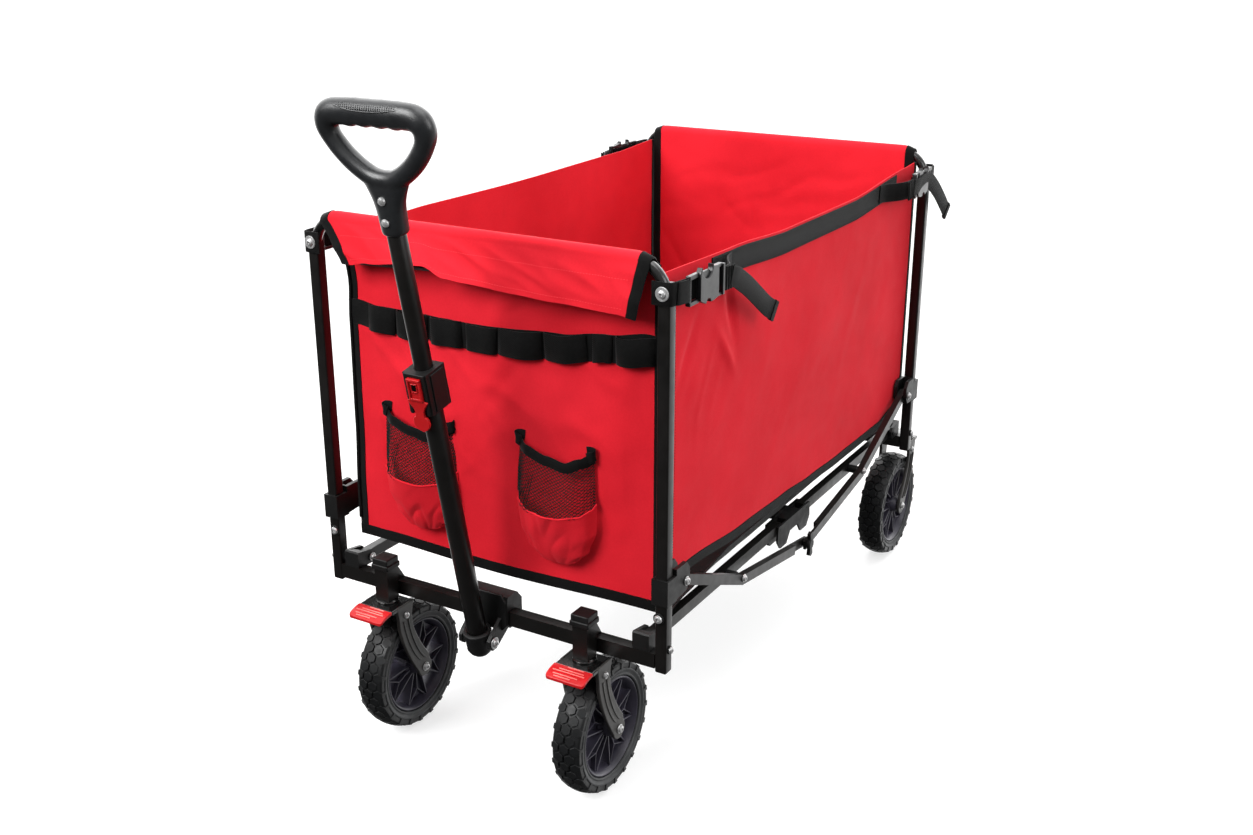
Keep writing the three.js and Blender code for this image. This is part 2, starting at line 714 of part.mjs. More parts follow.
// ---- Assembly ----
place('front_hoop', hoop(), steelBlack);
place('front_crossbar', frontCrossbar(), steelBlack);
place('rear_hoop', mirrored(hoop(), 'y'), steelBlack);
place('rear_crossbar', rearCrossbar(), steelBlack);
pair('floor_bracket_front', floorBracket(), plasticBlack);
pair('floor_bracket_rear', mirrored(floorBracket(), 'y'), plasticBlack);

pair('floor_bar_front', floorBar(), steelBlack);
pair('floor_bar_rear', mirrored(floorBar(), 'y'), steelBlack);
place('floor_hub', floorHub(), plasticBlack);
place('floor_board_front', floorBoard(), fabricBlack);
place('floor_board_rear', mirrored(floorBoard(), 'y'), fabricBlack);

pair('slider_front', slider(), plasticBlack);
pair('slider_rear', mirrored(slider(), 'y'), plasticBlack);
pair('link_front', link([linkInner, linkInner + 4]), steelBlack);
pair('link_rear', mirrored(link([linkOuter - 4, linkOuter]), 'y'), steelBlack);

const casterAxleY = CASTER_Y + FORK_TRAIL;
pair('caster_fork', boredFork(CASTER_X, CASTER_Y), steelBlack);
pair('caster_tyre', tyre(CASTER_X, casterAxleY), tyreBlack);
pair('caster_hub', wheelHub(CASTER_X, casterAxleY), hubGrey);
pair('caster_axle', axle(CASTER_X, casterAxleY), zinc);
pair('brake_pedal', brakePedal(), plasticRed);

const rearAxleY = REAR_FORK_Y - FORK_TRAIL;
pair('rear_fork', rearFork(), steelBlack);
pair('rear_tyre', tyre(REAR_WHEEL_X, rearAxleY), tyreBlack);
pair('rear_hub', wheelHub(REAR_WHEEL_X, rearAxleY), hubGrey);
pair('rear_axle', axle(REAR_WHEEL_X, rearAxleY), zinc);

place('handle_bracket', handleBracket(), plasticBlack);
place('handle_pivot_bolt', handlePivotBolt(), zinc);
place('handle_socket', handleSocket(), plasticBlack);
place('handle_outer_tube', outerTube(), steelBlack);
place('latch_collar', latchCollar(), plasticBlack);
place('latch_lever', latchLever(), plasticRed);
place('handle_inner_tube', innerTube(), steelBlack);
place('handle_grip', grip(), plasticGloss);

place('front_wall', endWall(), fabricRed);
place('rear_wall', mirrored(endWall(), 'y'), fabricRed);
pair('side_wall', sideWall(), fabricRed);
place('pocket_right', pocket(POCKET_RIGHT_X), fabricRed);
place('pocket_left', pocket(POCKET_LEFT_X), fabricRed);
pair('buckle_front', buckle(), plasticBlack);
pair('buckle_rear', mirrored(buckle(), 'y'), plasticBlack);

for (const mesh of wagon.children) {
  mesh.geometry.translate(0, TO_ORIGIN, 0);
}

export default wagon;
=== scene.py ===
"""Folding wagon with a pull handle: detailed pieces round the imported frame.

Lengths are in millimetres until at() turns them into metres in the row frame. Before that, y = 0 is midway
between the corner posts, -y is the handle end and +x is the wagon's right.
"""
import math

import bmesh
import bpy
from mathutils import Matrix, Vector, noise


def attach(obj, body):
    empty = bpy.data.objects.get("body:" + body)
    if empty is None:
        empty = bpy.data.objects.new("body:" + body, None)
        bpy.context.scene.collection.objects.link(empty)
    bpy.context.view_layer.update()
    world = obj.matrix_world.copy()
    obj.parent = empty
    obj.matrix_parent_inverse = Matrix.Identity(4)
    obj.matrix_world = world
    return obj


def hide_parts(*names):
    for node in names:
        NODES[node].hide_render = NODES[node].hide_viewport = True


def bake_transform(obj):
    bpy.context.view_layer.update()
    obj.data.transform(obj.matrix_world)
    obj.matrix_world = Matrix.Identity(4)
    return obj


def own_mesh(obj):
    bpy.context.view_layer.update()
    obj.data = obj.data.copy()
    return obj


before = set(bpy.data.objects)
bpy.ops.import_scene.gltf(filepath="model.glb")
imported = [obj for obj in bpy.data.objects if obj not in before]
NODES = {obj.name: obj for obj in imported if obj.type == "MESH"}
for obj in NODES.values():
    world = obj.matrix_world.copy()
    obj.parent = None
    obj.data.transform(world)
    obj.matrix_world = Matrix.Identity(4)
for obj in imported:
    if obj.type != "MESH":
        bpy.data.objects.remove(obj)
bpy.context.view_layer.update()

# ---- Dimensions, as in the CAD ----
TO_ORIGIN = 43.3
POST_X = 260
POST_Y = 440
TUBE = 16
FRAME_BOTTOM = 208
HOOP_TOP = 733
HOOP_BEND = 50
WHEEL_R = 92
RIM_R = 68
CASTER_X = 159
CASTER_Y = -462
FORK_TRAIL = 38
FORK_INNER = 23
FORK_OUTER = 28
REAR_WHEEL_X = 228
REAR_FORK_Y = 496
SLIDER_Z = 319
CROSSING_Y = 223
KNOB_Z = 205
WALL_LOW = 282
HANDLE_LEAN = math.radians(12)
HANDLE_FOOT_Y = -471
HANDLE_FOOT_Z = 197
PIVOT_Y = -470.6
PIVOT_Z = 195
ENDS = (("front", -1, "front_frame"), ("rear", 1, "rear_frame"))
SIDES = (("right", 1), ("left", -1))
CORNERS = [f"{end}_{side}" for end in ("front", "rear") for side in ("right", "left")]
WALL_HALF = 431  # half the length of a side wall
SIDE_X = 245.2
FLOOR_TOP = 250.2
POCKETS = {"right": 108, "left": -103}


def at(x, y, z):
    """Millimetres in the symmetric frame to metres in the row frame."""
    return Vector((x, y + TO_ORIGIN, z)) * 0.001


def leaned(x, y, z):
    """A point given along the handle's own axis, in the symmetric frame."""
    c, s = math.cos(HANDLE_LEAN), math.sin(HANDLE_LEAN)
    return Vector((x, y * c - z * s + HANDLE_FOOT_Y, y * s + z * c + HANDLE_FOOT_Z))


def lean_way(x, y, z):
    """A direction given along the handle's own axis."""
    return leaned(x, y, z) - leaned(0, 0, 0)


# ---- Materials ----
def linear(r, g, b):
    """A 0 to 255 display colour as linear RGBA."""
    return tuple((c / 255 / 12.92) if c <= 10 else ((c / 255 + 0.055) / 1.055) ** 2.4 for c in (r, g, b)) + (1.0,)


class Shader:
    """A principled material with helpers for the nodes that feed it."""

    def __init__(self, name, roughness=0.5, metallic=0.0, coat=0.0, sheen=0.0, specular=0.5):
        self.material = bpy.data.materials.new(name)
        self.material.use_nodes = True
        self.tree = self.material.node_tree
        self.main = self.tree.nodes["Principled BSDF"]
        self.main.inputs["Roughness"].default_value = roughness
        self.main.inputs["Metallic"].default_value = metallic
        self.main.inputs["Coat Weight"].default_value = coat
        self.main.inputs["Coat Roughness"].default_value = 0.25
        self.main.inputs["Sheen Weight"].default_value = sheen
        self.main.inputs["Sheen Roughness"].default_value = 0.4
        self.main.inputs["Specular IOR Level"].default_value = specular
        self.place = self.tree.nodes.new("ShaderNodeTexCoord").outputs["Object"]

    def node(self, kind, **inputs):
        made = self.tree.nodes.new(kind)
        for key, value in inputs.items():
            if hasattr(value, "links") or hasattr(value, "is_linked"):
                self.tree.links.new(value, made.inputs[key])
            else:
                made.inputs[key].default_value = value
        return made

    def link(self, output, socket):
        self.tree.links.new(output, socket)

    def noise(self, scale, detail=3.0, rough=0.55, vector=None):
        made = self.node("ShaderNodeTexNoise", Scale=scale, Detail=detail, Roughness=rough)
        self.link(vector or self.place, made.inputs["Vector"])
        return made.outputs["Fac"]

    def math(self, operation, a, b=None):
        made = self.tree.nodes.new("ShaderNodeMath")
        made.operation = operation
        for socket, value in zip(made.inputs, (a, b)):
            if value is None:
                continue
            if isinstance(value, (int, float)):
                socket.default_value = value
            else:
                self.link(value, socket)
        return made.outputs[0]

    def range(self, value, low, high, start=0.3, end=0.7):
        made = self.node("ShaderNodeMapRange")
        self.link(value, made.inputs["Value"])
        made.inputs["From Min"].default_value = start
        made.inputs["From Max"].default_value = end
        made.inputs["To Min"].default_value = low
        made.inputs["To Max"].default_value = high
        return made.outputs["Result"]

    def colours(self, value, dark, light, start=0.3, end=0.7):
        ramp = self.tree.nodes.new("ShaderNodeValToRGB")
        ramp.color_ramp.elements[0].position = start
        ramp.color_ramp.elements[0].color = dark
        ramp.color_ramp.elements[1].position = end
        ramp.color_ramp.elements[1].color = light
        self.link(value, ramp.inputs["Fac"])
        self.link(ramp.outputs["Color"], self.main.inputs["Base Color"])

    def roughness(self, value):
        self.link(value, self.main.inputs["Roughness"])

    def bump(self, height, strength, distance_mm):
        made = self.node("ShaderNodeBump", Strength=strength, Distance=distance_mm * 0.001)
        self.link(height, made.inputs["Height"])
        if self.main.inputs["Normal"].is_linked:
            earlier = self.main.inputs["Normal"].links[0].from_socket
            self.link(earlier, made.inputs["Normal"])
        self.link(made.outputs["Normal"], self.main.inputs["Normal"])

    def weave(self, pitch_mm):
        """Height of a plain weave that works on any upright or level sheet."""
        split = self.tree.nodes.new("ShaderNodeSeparateXYZ")
        self.link(self.place, split.inputs[0])
        turn = 2 * math.pi / (pitch_mm * 0.001)
        along = self.math("ADD", split.outputs["X"], split.outputs["Y"])
        a = self.math("SINE", self.math("MULTIPLY", along, turn))
        b = self.math("SINE", self.math("MULTIPLY", split.outputs["Z"], turn))
        return self.math("MULTIPLY", a, b)


def powder_coat(name, dark, light, rough, specular, coat=0.0):
    s = Shader(name, roughness=rough, specular=specular, coat=coat)
    s.colours(s.noise(14, 5), dark, light)
    s.roughness(s.range(s.noise(60, 4), rough - 0.05, rough + 0.09))
    s.bump(s.noise(1900, 2), 0.10, 0.12)
    s.bump(s.noise(160, 3), 0.05, 0.3)
    return s.material


def moulded(name, dark, light, rough, specular, grain=0.14):
    s = Shader(name, roughness=rough, specular=specular)
    s.colours(s.noise(22, 4), dark, light)
    s.roughness(s.range(s.noise(90, 4), rough - 0.06, rough + 0.07))
    s.bump(s.noise(1500, 3), grain, 0.12)
    return s.material


def cloth_shader(name, dark, mid, rough, sheen, pitch_mm, grain):
    s = Shader(name, roughness=rough, sheen=sheen, specular=0.05)
    mixed = s.math("ADD", s.math("MULTIPLY", s.noise(7, 5), 0.75), s.math("MULTIPLY", s.noise(420, 2), 0.25))
    s.colours(mixed, dark, mid, 0.32, 0.66)
    s.roughness(s.range(s.noise(34, 3), rough - 0.06, rough + 0.06))
    s.bump(s.weave(pitch_mm), grain, 0.12)
    s.bump(s.noise(55, 4), 0.10, 0.9)
    return s.material


def webbing_shader(name):
    s = Shader(name, roughness=0.74, sheen=0.1, specular=0.1)
    s.colours(s.noise(260, 3), linear(3, 3, 3), linear(10, 10, 10))
    s.bump(s.weave(2.4), 0.55, 0.35)
    return s.material


def zinc_shader(name):
    s = Shader(name, roughness=0.4, metallic=0.7)
    s.colours(s.noise(120, 4), linear(162, 162, 162), linear(206, 206, 206))
    s.roughness(s.range(s.noise(220, 4), 0.3, 0.5))
    s.bump(s.noise(700, 2), 0.06, 0.1)
    return s.material


STEEL = powder_coat("steel_powder_coat", linear(12, 11, 10), linear(19, 17, 16), 0.34, 0.3)
STEEL_GLOSS = powder_coat("steel_gloss_coat", linear(8, 8, 8), linear(14, 13, 13), 0.2, 0.45, coat=0.3)
FORK_GREY = powder_coat("fork_leg_coat", linear(46, 45, 44), linear(64, 62, 60), 0.42, 0.35)
PLASTIC = moulded("black_plastic", linear(13, 13, 13), linear(21, 21, 21), 0.48, 0.25)
BUCKLE_PLASTIC = moulded("buckle_plastic", linear(14, 14, 15), linear(25, 25, 27), 0.34, 0.45, 0.06)
GRIP_PLASTIC = moulded("grip_plastic", linear(19, 20, 22), linear(28, 30, 32), 0.36, 0.6, 0.10)
# Painted shade: this near-black stands in for the shade inside the buckle's slot and the latch lever's hole.
PAINTED_SHADE = moulded("painted_shade_black", linear(2, 2, 2), linear(5, 5, 5), 0.8, 0.05, 0.05)
RED_PLASTIC = moulded("red_plastic", linear(172, 18, 22), linear(196, 26, 30), 0.36, 0.3, 0.05)
# Painted highlight: the pedal's ridges are red plastic, coloured pale pink where light catches them.
RED_RIDGE_HIGHLIGHT = moulded("red_ridge_painted_highlight", linear(224, 92, 88), linear(240, 134, 126), 0.4, 0.3, 0.05)
HUB_PLASTIC = moulded("hub_plastic", linear(42, 40, 50), linear(62, 59, 72), 0.4, 0.4, 0.07)
TYRE_RUBBER = moulded("tyre_rubber", linear(10, 11, 12), linear(22, 23, 24), 0.46, 0.3, 0.16)
SIDEWALL_RUBBER = moulded("sidewall_rubber", linear(48, 49, 50), linear(70, 71, 72), 0.62, 0.35, 0.12)
RED_CLOTH = cloth_shader("red_polyester", linear(202, 28, 40), linear(220, 37, 50), 0.72, 0.03, 1.5, 0.2)
BLACK_CLOTH = cloth_shader("black_polyester", linear(10, 10, 10), linear(20, 20, 20), 0.76, 0.08, 1.5, 0.3)
BINDING = cloth_shader("black_binding", linear(9, 9, 9), linear(21, 21, 21), 0.8, 0.1, 2.0, 0.5)
WEBBING = webbing_shader("black_webbing")
NET = moulded("black_net_cord", linear(9, 9, 9), linear(22, 22, 22), 0.7, 0.2, 0.1)
RED_THREAD = moulded("red_thread", linear(226, 54, 62), linear(240, 84, 90), 0.7, 0.2, 0.1)
BLACK_THREAD = moulded("black_thread", linear(14, 14, 14), linear(44, 44, 44), 0.7, 0.2, 0.1)
GREY_EDGE = moulded("grey_selvedge", linear(84, 74, 74), linear(112, 100, 100), 0.8, 0.2, 0.1)
ZINC = zinc_shader("zinc_plate")

SLOT_OF = {
    **dict.fromkeys((STEEL, STEEL_GLOSS, FORK_GREY), "steel_black"),
    **dict.fromkeys((PLASTIC, BUCKLE_PLASTIC, PAINTED_SHADE), "plastic_black"),
    **dict.fromkeys((GRIP_PLASTIC,), "grip_black"),
    **dict.fromkeys((RED_PLASTIC, RED_RIDGE_HIGHLIGHT), "plastic_red"),
    **dict.fromkeys((HUB_PLASTIC,), "hub_grey"),
    **dict.fromkeys((TYRE_RUBBER, SIDEWALL_RUBBER), "tyre"),
    **dict.fromkeys((RED_CLOTH, RED_THREAD), "fabric_red"),
    **dict.fromkeys((BLACK_CLOTH, BINDING, WEBBING, NET, BLACK_THREAD, GREY_EDGE), "fabric_black"),
    **dict.fromkeys((ZINC,), "zinc"),
}


# ---- Pieces from closed shells ----
class Piece:
    """Shells in millimetres that become one object."""

    def __init__(self):
        self.points = []
        self.faces = []

    def add(self, points, faces):
        base = len(self.points)
        self.points += [Vector(p) for p in points]
        self.faces += [[base + i for i in face] for face in faces]
        return self

    def box(self, x, y, z):
        corners = [Vector((a, b, c)) for c in z for b in y for a in x]
        faces = [(0, 2, 3, 1), (4, 5, 7, 6), (0, 1, 5, 4), (2, 6, 7, 3), (0, 4, 6, 2), (1, 3, 7, 5)]
        return self.add(corners, faces)

    def rings(self, points, size, closed=False):
        """Rings of size points joined in order: capped at both ends, or closed into a loop."""
        count = len(points) // size
        faces = []
        for i in range(count if closed else count - 1):
            a, b = i * size, (i + 1) % count * size
            faces += [[a + k, a + (k + 1) % size, b + (k + 1) % size, b + k] for k in range(size)]
        if not closed:
            faces += [list(range(size)), list(range((count - 1) * size, count * size))]
        return self.add(points, faces)

    def prism(self, outline, low, high, axis="x", turn=None):
        """An outline extruded along an axis. It is drawn in Y and Z for x, and in X and Z for y."""
        count = len(outline)
        put = {"x": lambda a, b, t: (t, a, b), "y": lambda a, b, t: (a, t, b), "z": lambda a, b, t: (a, b, t)}[axis]
        points = [Vector(put(a, b, t)) for t in (low, high) for a, b in outline]
        if turn is not None:
            points = [turn(*p) for p in points]
        sides = [[i, (i + 1) % count, count + (i + 1) % count, count + i] for i in range(count)]
        return self.add(points, [list(range(count)), list(range(count, 2 * count)), *sides])

    def turned(self, profile, centre, axis, sides=32, ring=False):
        """(radius, along) points turned about an axis: an open line closed by flat ends, or a ring."""
        axis = Vector(axis).normalized()
        across = axis.orthogonal().normalized()
        other = axis.cross(across)
        points = []
        for radius, along in profile:
            for k in range(sides):
                a = 2 * math.pi * k / sides
                spoke = across * math.cos(a) + other * math.sin(a)
                points.append(Vector(centre) + axis * along + spoke * max(radius, 0.01))
        return self.rings(points, sides, ring)

    def rod(self, start, end, radius, sides=24, chamfer=0.6):
        start, end = Vector(start), Vector(end)
        length = (end - start).length
        profile = [(radius - chamfer, 0), (radius, chamfer), (radius, length - chamfer), (radius - chamfer, length)]
        return self.turned(profile, start, end - start, sides)

    def sweep(self, path, section, up, closed=False):
        """A section of (side, up) points carried along a path."""
        count = len(path)
        points = []
        for i, p in enumerate(path):
            before = path[i - 1] if i or closed else p
            after = path[(i + 1) % count] if i + 1 < count or closed else p
            ahead = (Vector(after) - Vector(before)).normalized()
            top = Vector(up(i) if callable(up) else up)
            side = ahead.cross(top).normalized()
            top = side.cross(ahead).normalized()
            points += [Vector(p) + side * a + top * b for a, b in section(i)]
        return self.rings(points, len(section(0)), closed)

    def band(self, path, width, thickness, up=(0, 0, 1)):
        """Flat webbing along a path, with its width along up."""
        return self.sweep(path, lambda i: rounded_band(width, thickness), up)

    def make(self, name, body, material, bevel=0.0, segments=2, angle=35, replaces=(), slot=None):
        mesh = bpy.data.meshes.new(name)
        mesh.from_pydata([at(*p) for p in self.points], [], self.faces)
        shape = bmesh.new()
        shape.from_mesh(mesh)
        bmesh.ops.recalc_face_normals(shape, faces=shape.faces)
        shape.to_mesh(mesh)
        shape.free()
        return dress(bpy.data.objects.new(name, mesh), body, material, bevel, segments, angle, replaces, slot)


def soften(obj, bevel, segments, angle):
    """Rounds the edges sharper than angle, in degrees, by bevel millimetres."""
    modifier = obj.modifiers.new("edge_rounding", "BEVEL")
    modifier.width = bevel * 0.001
    modifier.segments = segments
    modifier.limit_method = "ANGLE"
    modifier.angle_limit = math.radians(angle)
    modifier.harden_normals = True


def enlist(obj, body, slot, replaces):
    """Hides the nodes a piece replaces and attaches it to the body it rides; its slot is not used."""
    if replaces:
        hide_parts(*replaces)
    if body:
        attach(obj, body)
    return obj


def dress(obj, body, material, bevel, segments, angle, replaces, slot):
    mesh = obj.data
    mesh.materials.append(material)
    mesh.polygons.foreach_set("use_smooth", [True] * len(mesh.polygons))
    mesh.set_sharp_from_angle(angle=math.radians(angle))
    bpy.context.scene.collection.objects.link(obj)
    if bevel:
        soften(obj, bevel, segments, angle)
    return enlist(obj, body, slot or SLOT_OF[material], replaces)


def final(obj):
    """Applies an object's modifiers."""
    shape = obj.evaluated_get(bpy.context.evaluated_depsgraph_get())
    mesh = bpy.data.meshes.new_from_object(shape)
    obj.modifiers.clear()
    obj.data = mesh
    return obj


def smooth_path(points, steps=6, closed=False):
    """A Catmull-Rom curve through points of any dimension."""
    points = [Vector(p) for p in points]
    count = len(points)
    out = []
    for i in range(count if closed else count - 1):
        a = points[(i - 1) % count] if closed or i else points[0]
        b, c = points[i], points[(i + 1) % count]
        d = points[(i + 2) % count] if closed or i + 2 < count else points[-1]
        for k in range(steps):
            t = k / steps
            out.append(
                ((2 * b) + (c - a) * t + (2 * a - 5 * b + 4 * c - d) * t**2 + (3 * b - a - 3 * c + d) * t**3) / 2
            )
    if not closed:
        out.append(points[-1])
    return out


def table_value(table, x):
    """Straight-line interpolation in a list of (x, value), with a smooth ease between points."""
    if x <= table[0][0]:
        return table[0][1]
    for (x0, a), (x1, b) in zip(table, table[1:]):
        if x <= x1:
            t = (x - x0) / (x1 - x0)
            t = t * t * (3 - 2 * t)
            return a + (b - a) * t
    return table[-1][1]


def rounded_square(half, radius, steps=4):
    points = []
    for k, (sx, sy) in enumerate(((1, 1), (-1, 1), (-1, -1), (1, -1))):
        for i in range(steps + 1):
            a = math.pi / 2 * (k + i / steps)
            points.append((sx * (half - radius) + radius * math.cos(a), sy * (half - radius) + radius * math.sin(a)))
    return points


def rounded_band(width, thickness):
    """Section of flat webbing: width along up, thickness across it."""
    a, b = thickness / 2, width / 2
    return [
        (a, b - 0.6), (a * 0.4, b), (-a * 0.4, b), (-a, b - 0.6), (-a, 0.6 - b), (-a * 0.4, -b), (a * 0.4, -b),
        (a, 0.6 - b)
    ]


# ---- Cloth ----
def sheet_mesh(name, columns, rows, point, thickness, body, material, replaces=()):
    """A thin sheet through point(u, v), u and v from 0 to 1."""
    points = [at(*point(i / columns, j / rows)) for j in range(rows + 1) for i in range(columns + 1)]
    wide = columns + 1
    faces = [
        (j * wide + i, j * wide + i + 1, (j + 1) * wide + i + 1, (j + 1) * wide + i)
        for j in range(rows)
        for i in range(columns)
    ]
    mesh = bpy.data.meshes.new(name)
    mesh.from_pydata(points, [], faces)
    obj = bpy.data.objects.new(name, mesh)
    mesh.materials.append(material)
    mesh.polygons.foreach_set("use_smooth", [True] * len(mesh.polygons))
    bpy.context.scene.collection.objects.link(obj)
    modifier = obj.modifiers.new("thickness", "SOLIDIFY")
    modifier.thickness = thickness * 0.001
    modifier.offset = 0
    final(obj)
    obj.data.set_sharp_from_angle(angle=math.radians(50))
    return enlist(obj, body, SLOT_OF[material], replaces)


def fold_noise(p, q, angle, long, short, seed):
    """Noise stretched along a direction in the sheet: -1 to 1."""
    c, s = math.cos(angle), math.sin(angle)
    return noise.noise(Vector(((p * c + q * s) / long, (q * c - p * s) / short, seed)))


def crease(p, q, angle, long, short, seed):
    """Sharper folds than fold_noise: 0 between them, 1 on a ridge."""
    return max(0.0, 1 - 3.2 * abs(fold_noise(p, q, angle, long, short, seed)))


def bell(x, middle, width):
    return math.exp(-(((x - middle) / width) ** 2))


END_HALF = 241
WALL_Y = 430.4
WRAP_R = 9.6  # the cloth's turn over the hoop's top tube
FLAP_OUT = 14.0
END_ROWS = (64, 10, 20)  # up the wall, over the tube, down the flap


def end_top(x):
    """Top of the hoop at x."""
    edge = POST_X + TUBE / 2 - HOOP_BEND
    if abs(x) <= edge:
        return HOOP_TOP
    return HOOP_TOP - HOOP_BEND + math.sqrt(max(0, HOOP_BEND**2 - (abs(x) - edge) ** 2))


def end_wrinkle(x, z, front):
    """How far the wrinkles of an end wall stand out at x and z."""
    seed = 1.7 if front else 8.3
    high = bell(z, 650, 42)
    amount = 3.4 * fold_noise(x, z, 0.2, 120, 30, seed) * (0.25 + high)
    amount += 3.2 * fold_noise(x, z, 1.15, 170, 62, seed + 3)
    amount += 2.4 * crease(x, z, 0.55, 120, 44, seed + 5) * (0.35 + 0.9 * high)
    amount += 2.0 * crease(x, z, -0.75, 110, 40, seed + 9) * (0.35 + bell(z, 530, 80))
    amount += 0.5 * fold_noise(x, z, 0.9, 40, 22, seed + 13)
    if front:
        amount += 5.0 * bell(x - 0.9 * (z - 650), 40, 16) * bell(z, 655, 26)
        amount += 3.6 * bell(x + 0.5 * (z - 640), -150, 18) * bell(z, 652, 20)
        amount -= 3.2 * bell(x - 0.7 * (z - 540), 26, 14) * bell(z, 548, 34)
    return amount


def end_left(z, front):
    """The wall's left edge; the front one is drawn in by its stitching."""
    if not front:
        return -END_HALF
    return table_value([(280, -224), (345, -223), (450, -219), (590, -217), (640, -214), (700, -222), (733, -238)], z)


def end_right(z, front):
    return END_HALF + 5 if front else END_HALF


def flap_low(x, front):
    """Height of a flap's lower edge at x."""
    if not front:
        return 662 - 2.5 * math.sin(x / 38)
    return table_value(
        [
            (-232, 673), (-195, 679), (-125, 686), (-92, 688), (-58, 676), (-20, 674), (60, 670), (126, 667),
            (215, 664), (241, 660)
        ], x
    )


def end_wall_point(u, v, front, lift=0.0):
    """A point of an end wall, drawn at the front, at shares u across and v along it."""
    rows = sum(END_ROWS)
    a, b = END_ROWS[0] / rows, (END_ROWS[0] + END_ROWS[1]) / rows
    x = (2 * u - 1) * END_HALF
    top = end_top(x)
    centre = top - TUBE / 2
    radius = WRAP_R + lift
    if v <= a:
        t = v / a
        low = WALL_LOW - 1.5 - (2.5 * math.cos(x / 70) if front else 0)
        z = low + (centre - low) * t
        left, right = end_left(z, front), end_right(z, front)
        x = left + (right - left) * u
        free = math.sin(math.pi * min(1, t * 1.02)) ** 0.6 if t < 0.98 else 0
        free *= min(1.0, 9 * u + 0.1, 9 * (1 - u) + 0.1)
        belly = 11 * math.cos(math.pi * x / (2 * END_HALF)) * math.sin(math.pi * t)
        return Vector((x, -WALL_Y - lift - free * (belly + end_wrinkle(x, z, front)), z))
    if v <= b:
        turn = math.pi * (v - a) / (b - a)
        return Vector((x, -POST_Y + math.cos(turn) * radius, centre + math.sin(turn) * radius))
    t = (v - b) / (1 - b)
    z = centre + (flap_low(x, front) - centre) * t
    if not front:
        return Vector((x * (1 - 0.03 * t), -POST_Y - radius - 3.5 * t, z))
    gape = 6 * bell(x, -110, 80) + 3 * bell(x, 60, 60)
    y = -POST_Y - radius - t * (FLAP_OUT + gape * t) - 2.2 * t * fold_noise(x, z, 0.5, 90, 34, 4.4)
    y -= 2.6 * crease(x, z, -0.45, 110, 30, 9.9) * math.sin(math.pi * t)
    left, right = -END_HALF + 44 * t**0.8, END_HALF - 10 * t
    return Vector((left + (right - left) * u, y, z))


def end_wall_surface(front, lift=0.0):
    def point(u, v):
        p = end_wall_point(u, v, front, lift)
        return p if front else Vector((p.x, -p.y, p.z))

    return point


def side_low(y):
    """Height of a side wall's lower edge at y."""
    return table_value(
        [
            (-431, 306), (-352, 309), (-190, 297), (-57, 292), (43, 285), (155, 281), (333, 279), (393, 288),
            (431, 296)
        ], y
    )


def side_strap(y, side):
    """Height of a side wall's top strap at y."""
    if side > 0:
        return table_value([(-431, 690), (-243, 686), (-73, 678), (146, 677), (384, 690), (431, 692)], y)
    return table_value([(-431, 690), (-300, 686), (0, 683), (300, 686), (431, 692)], y)


def side_surface(y, z, side, lift=0.0):
    """A point of a side wall's cloth, with its bulge and creases."""
    low, high = side_low(y), side_strap(y, side) + 18
    t = min(1, max(0, (z - low) / (high - low)))
    u = min(1, max(0, (y + WALL_HALF) / (2 * WALL_HALF)))
    seed = 21.5 if side > 0 else 33.1
    free = math.sin(math.pi * u) ** 0.35 * (0.25 + 0.75 * math.sin(math.pi * t) ** 0.7)
    bulge = 3.0 * math.sin(math.pi * u) * math.sin(math.pi * t * 0.9)
    wave = 2.6 * fold_noise(y, z, 0.9, 420, 190, seed)
    wave += 2.0 * crease(y, z, 1.0, 260, 90, seed + 2) * (0.25 + 0.7 * bell(z, 560, 110))
    wave += 2.8 * crease(y, z, 1.1, 110, 42, seed + 8) * bell(y, -350, 70) * bell(z, 590, 90)
    wave += 0.9 * crease(y, z, -0.9, 120, 44, seed + 6) * bell(y, 330, 110)
    wave += 0.25 * fold_noise(y, z, 0.4, 40, 24, seed + 11)
    if side > 0:
        wave -= 8.0 * bell(y + 0.25 * (z - 640), -252, 9) * bell(z, 632, 38)
        wave -= 5.5 * bell(y - 0.62 * (z - 600), -362, 10) * bell(z, 600, 40)
        wave += 5.0 * bell(y + 0.7 * (z - 576), -264, 9) * bell(z, 576, 30)
    drawn = 0.0
    if side < 0:
        ease = min(1.0, (y + WALL_HALF) / 210)
        drawn = (SIDE_X + end_left(z, True) + 1.5) * (1 - ease * ease * (3 - 2 * ease))
    return Vector((side * (SIDE_X - drawn + lift + bulge + free * wave), y, z))


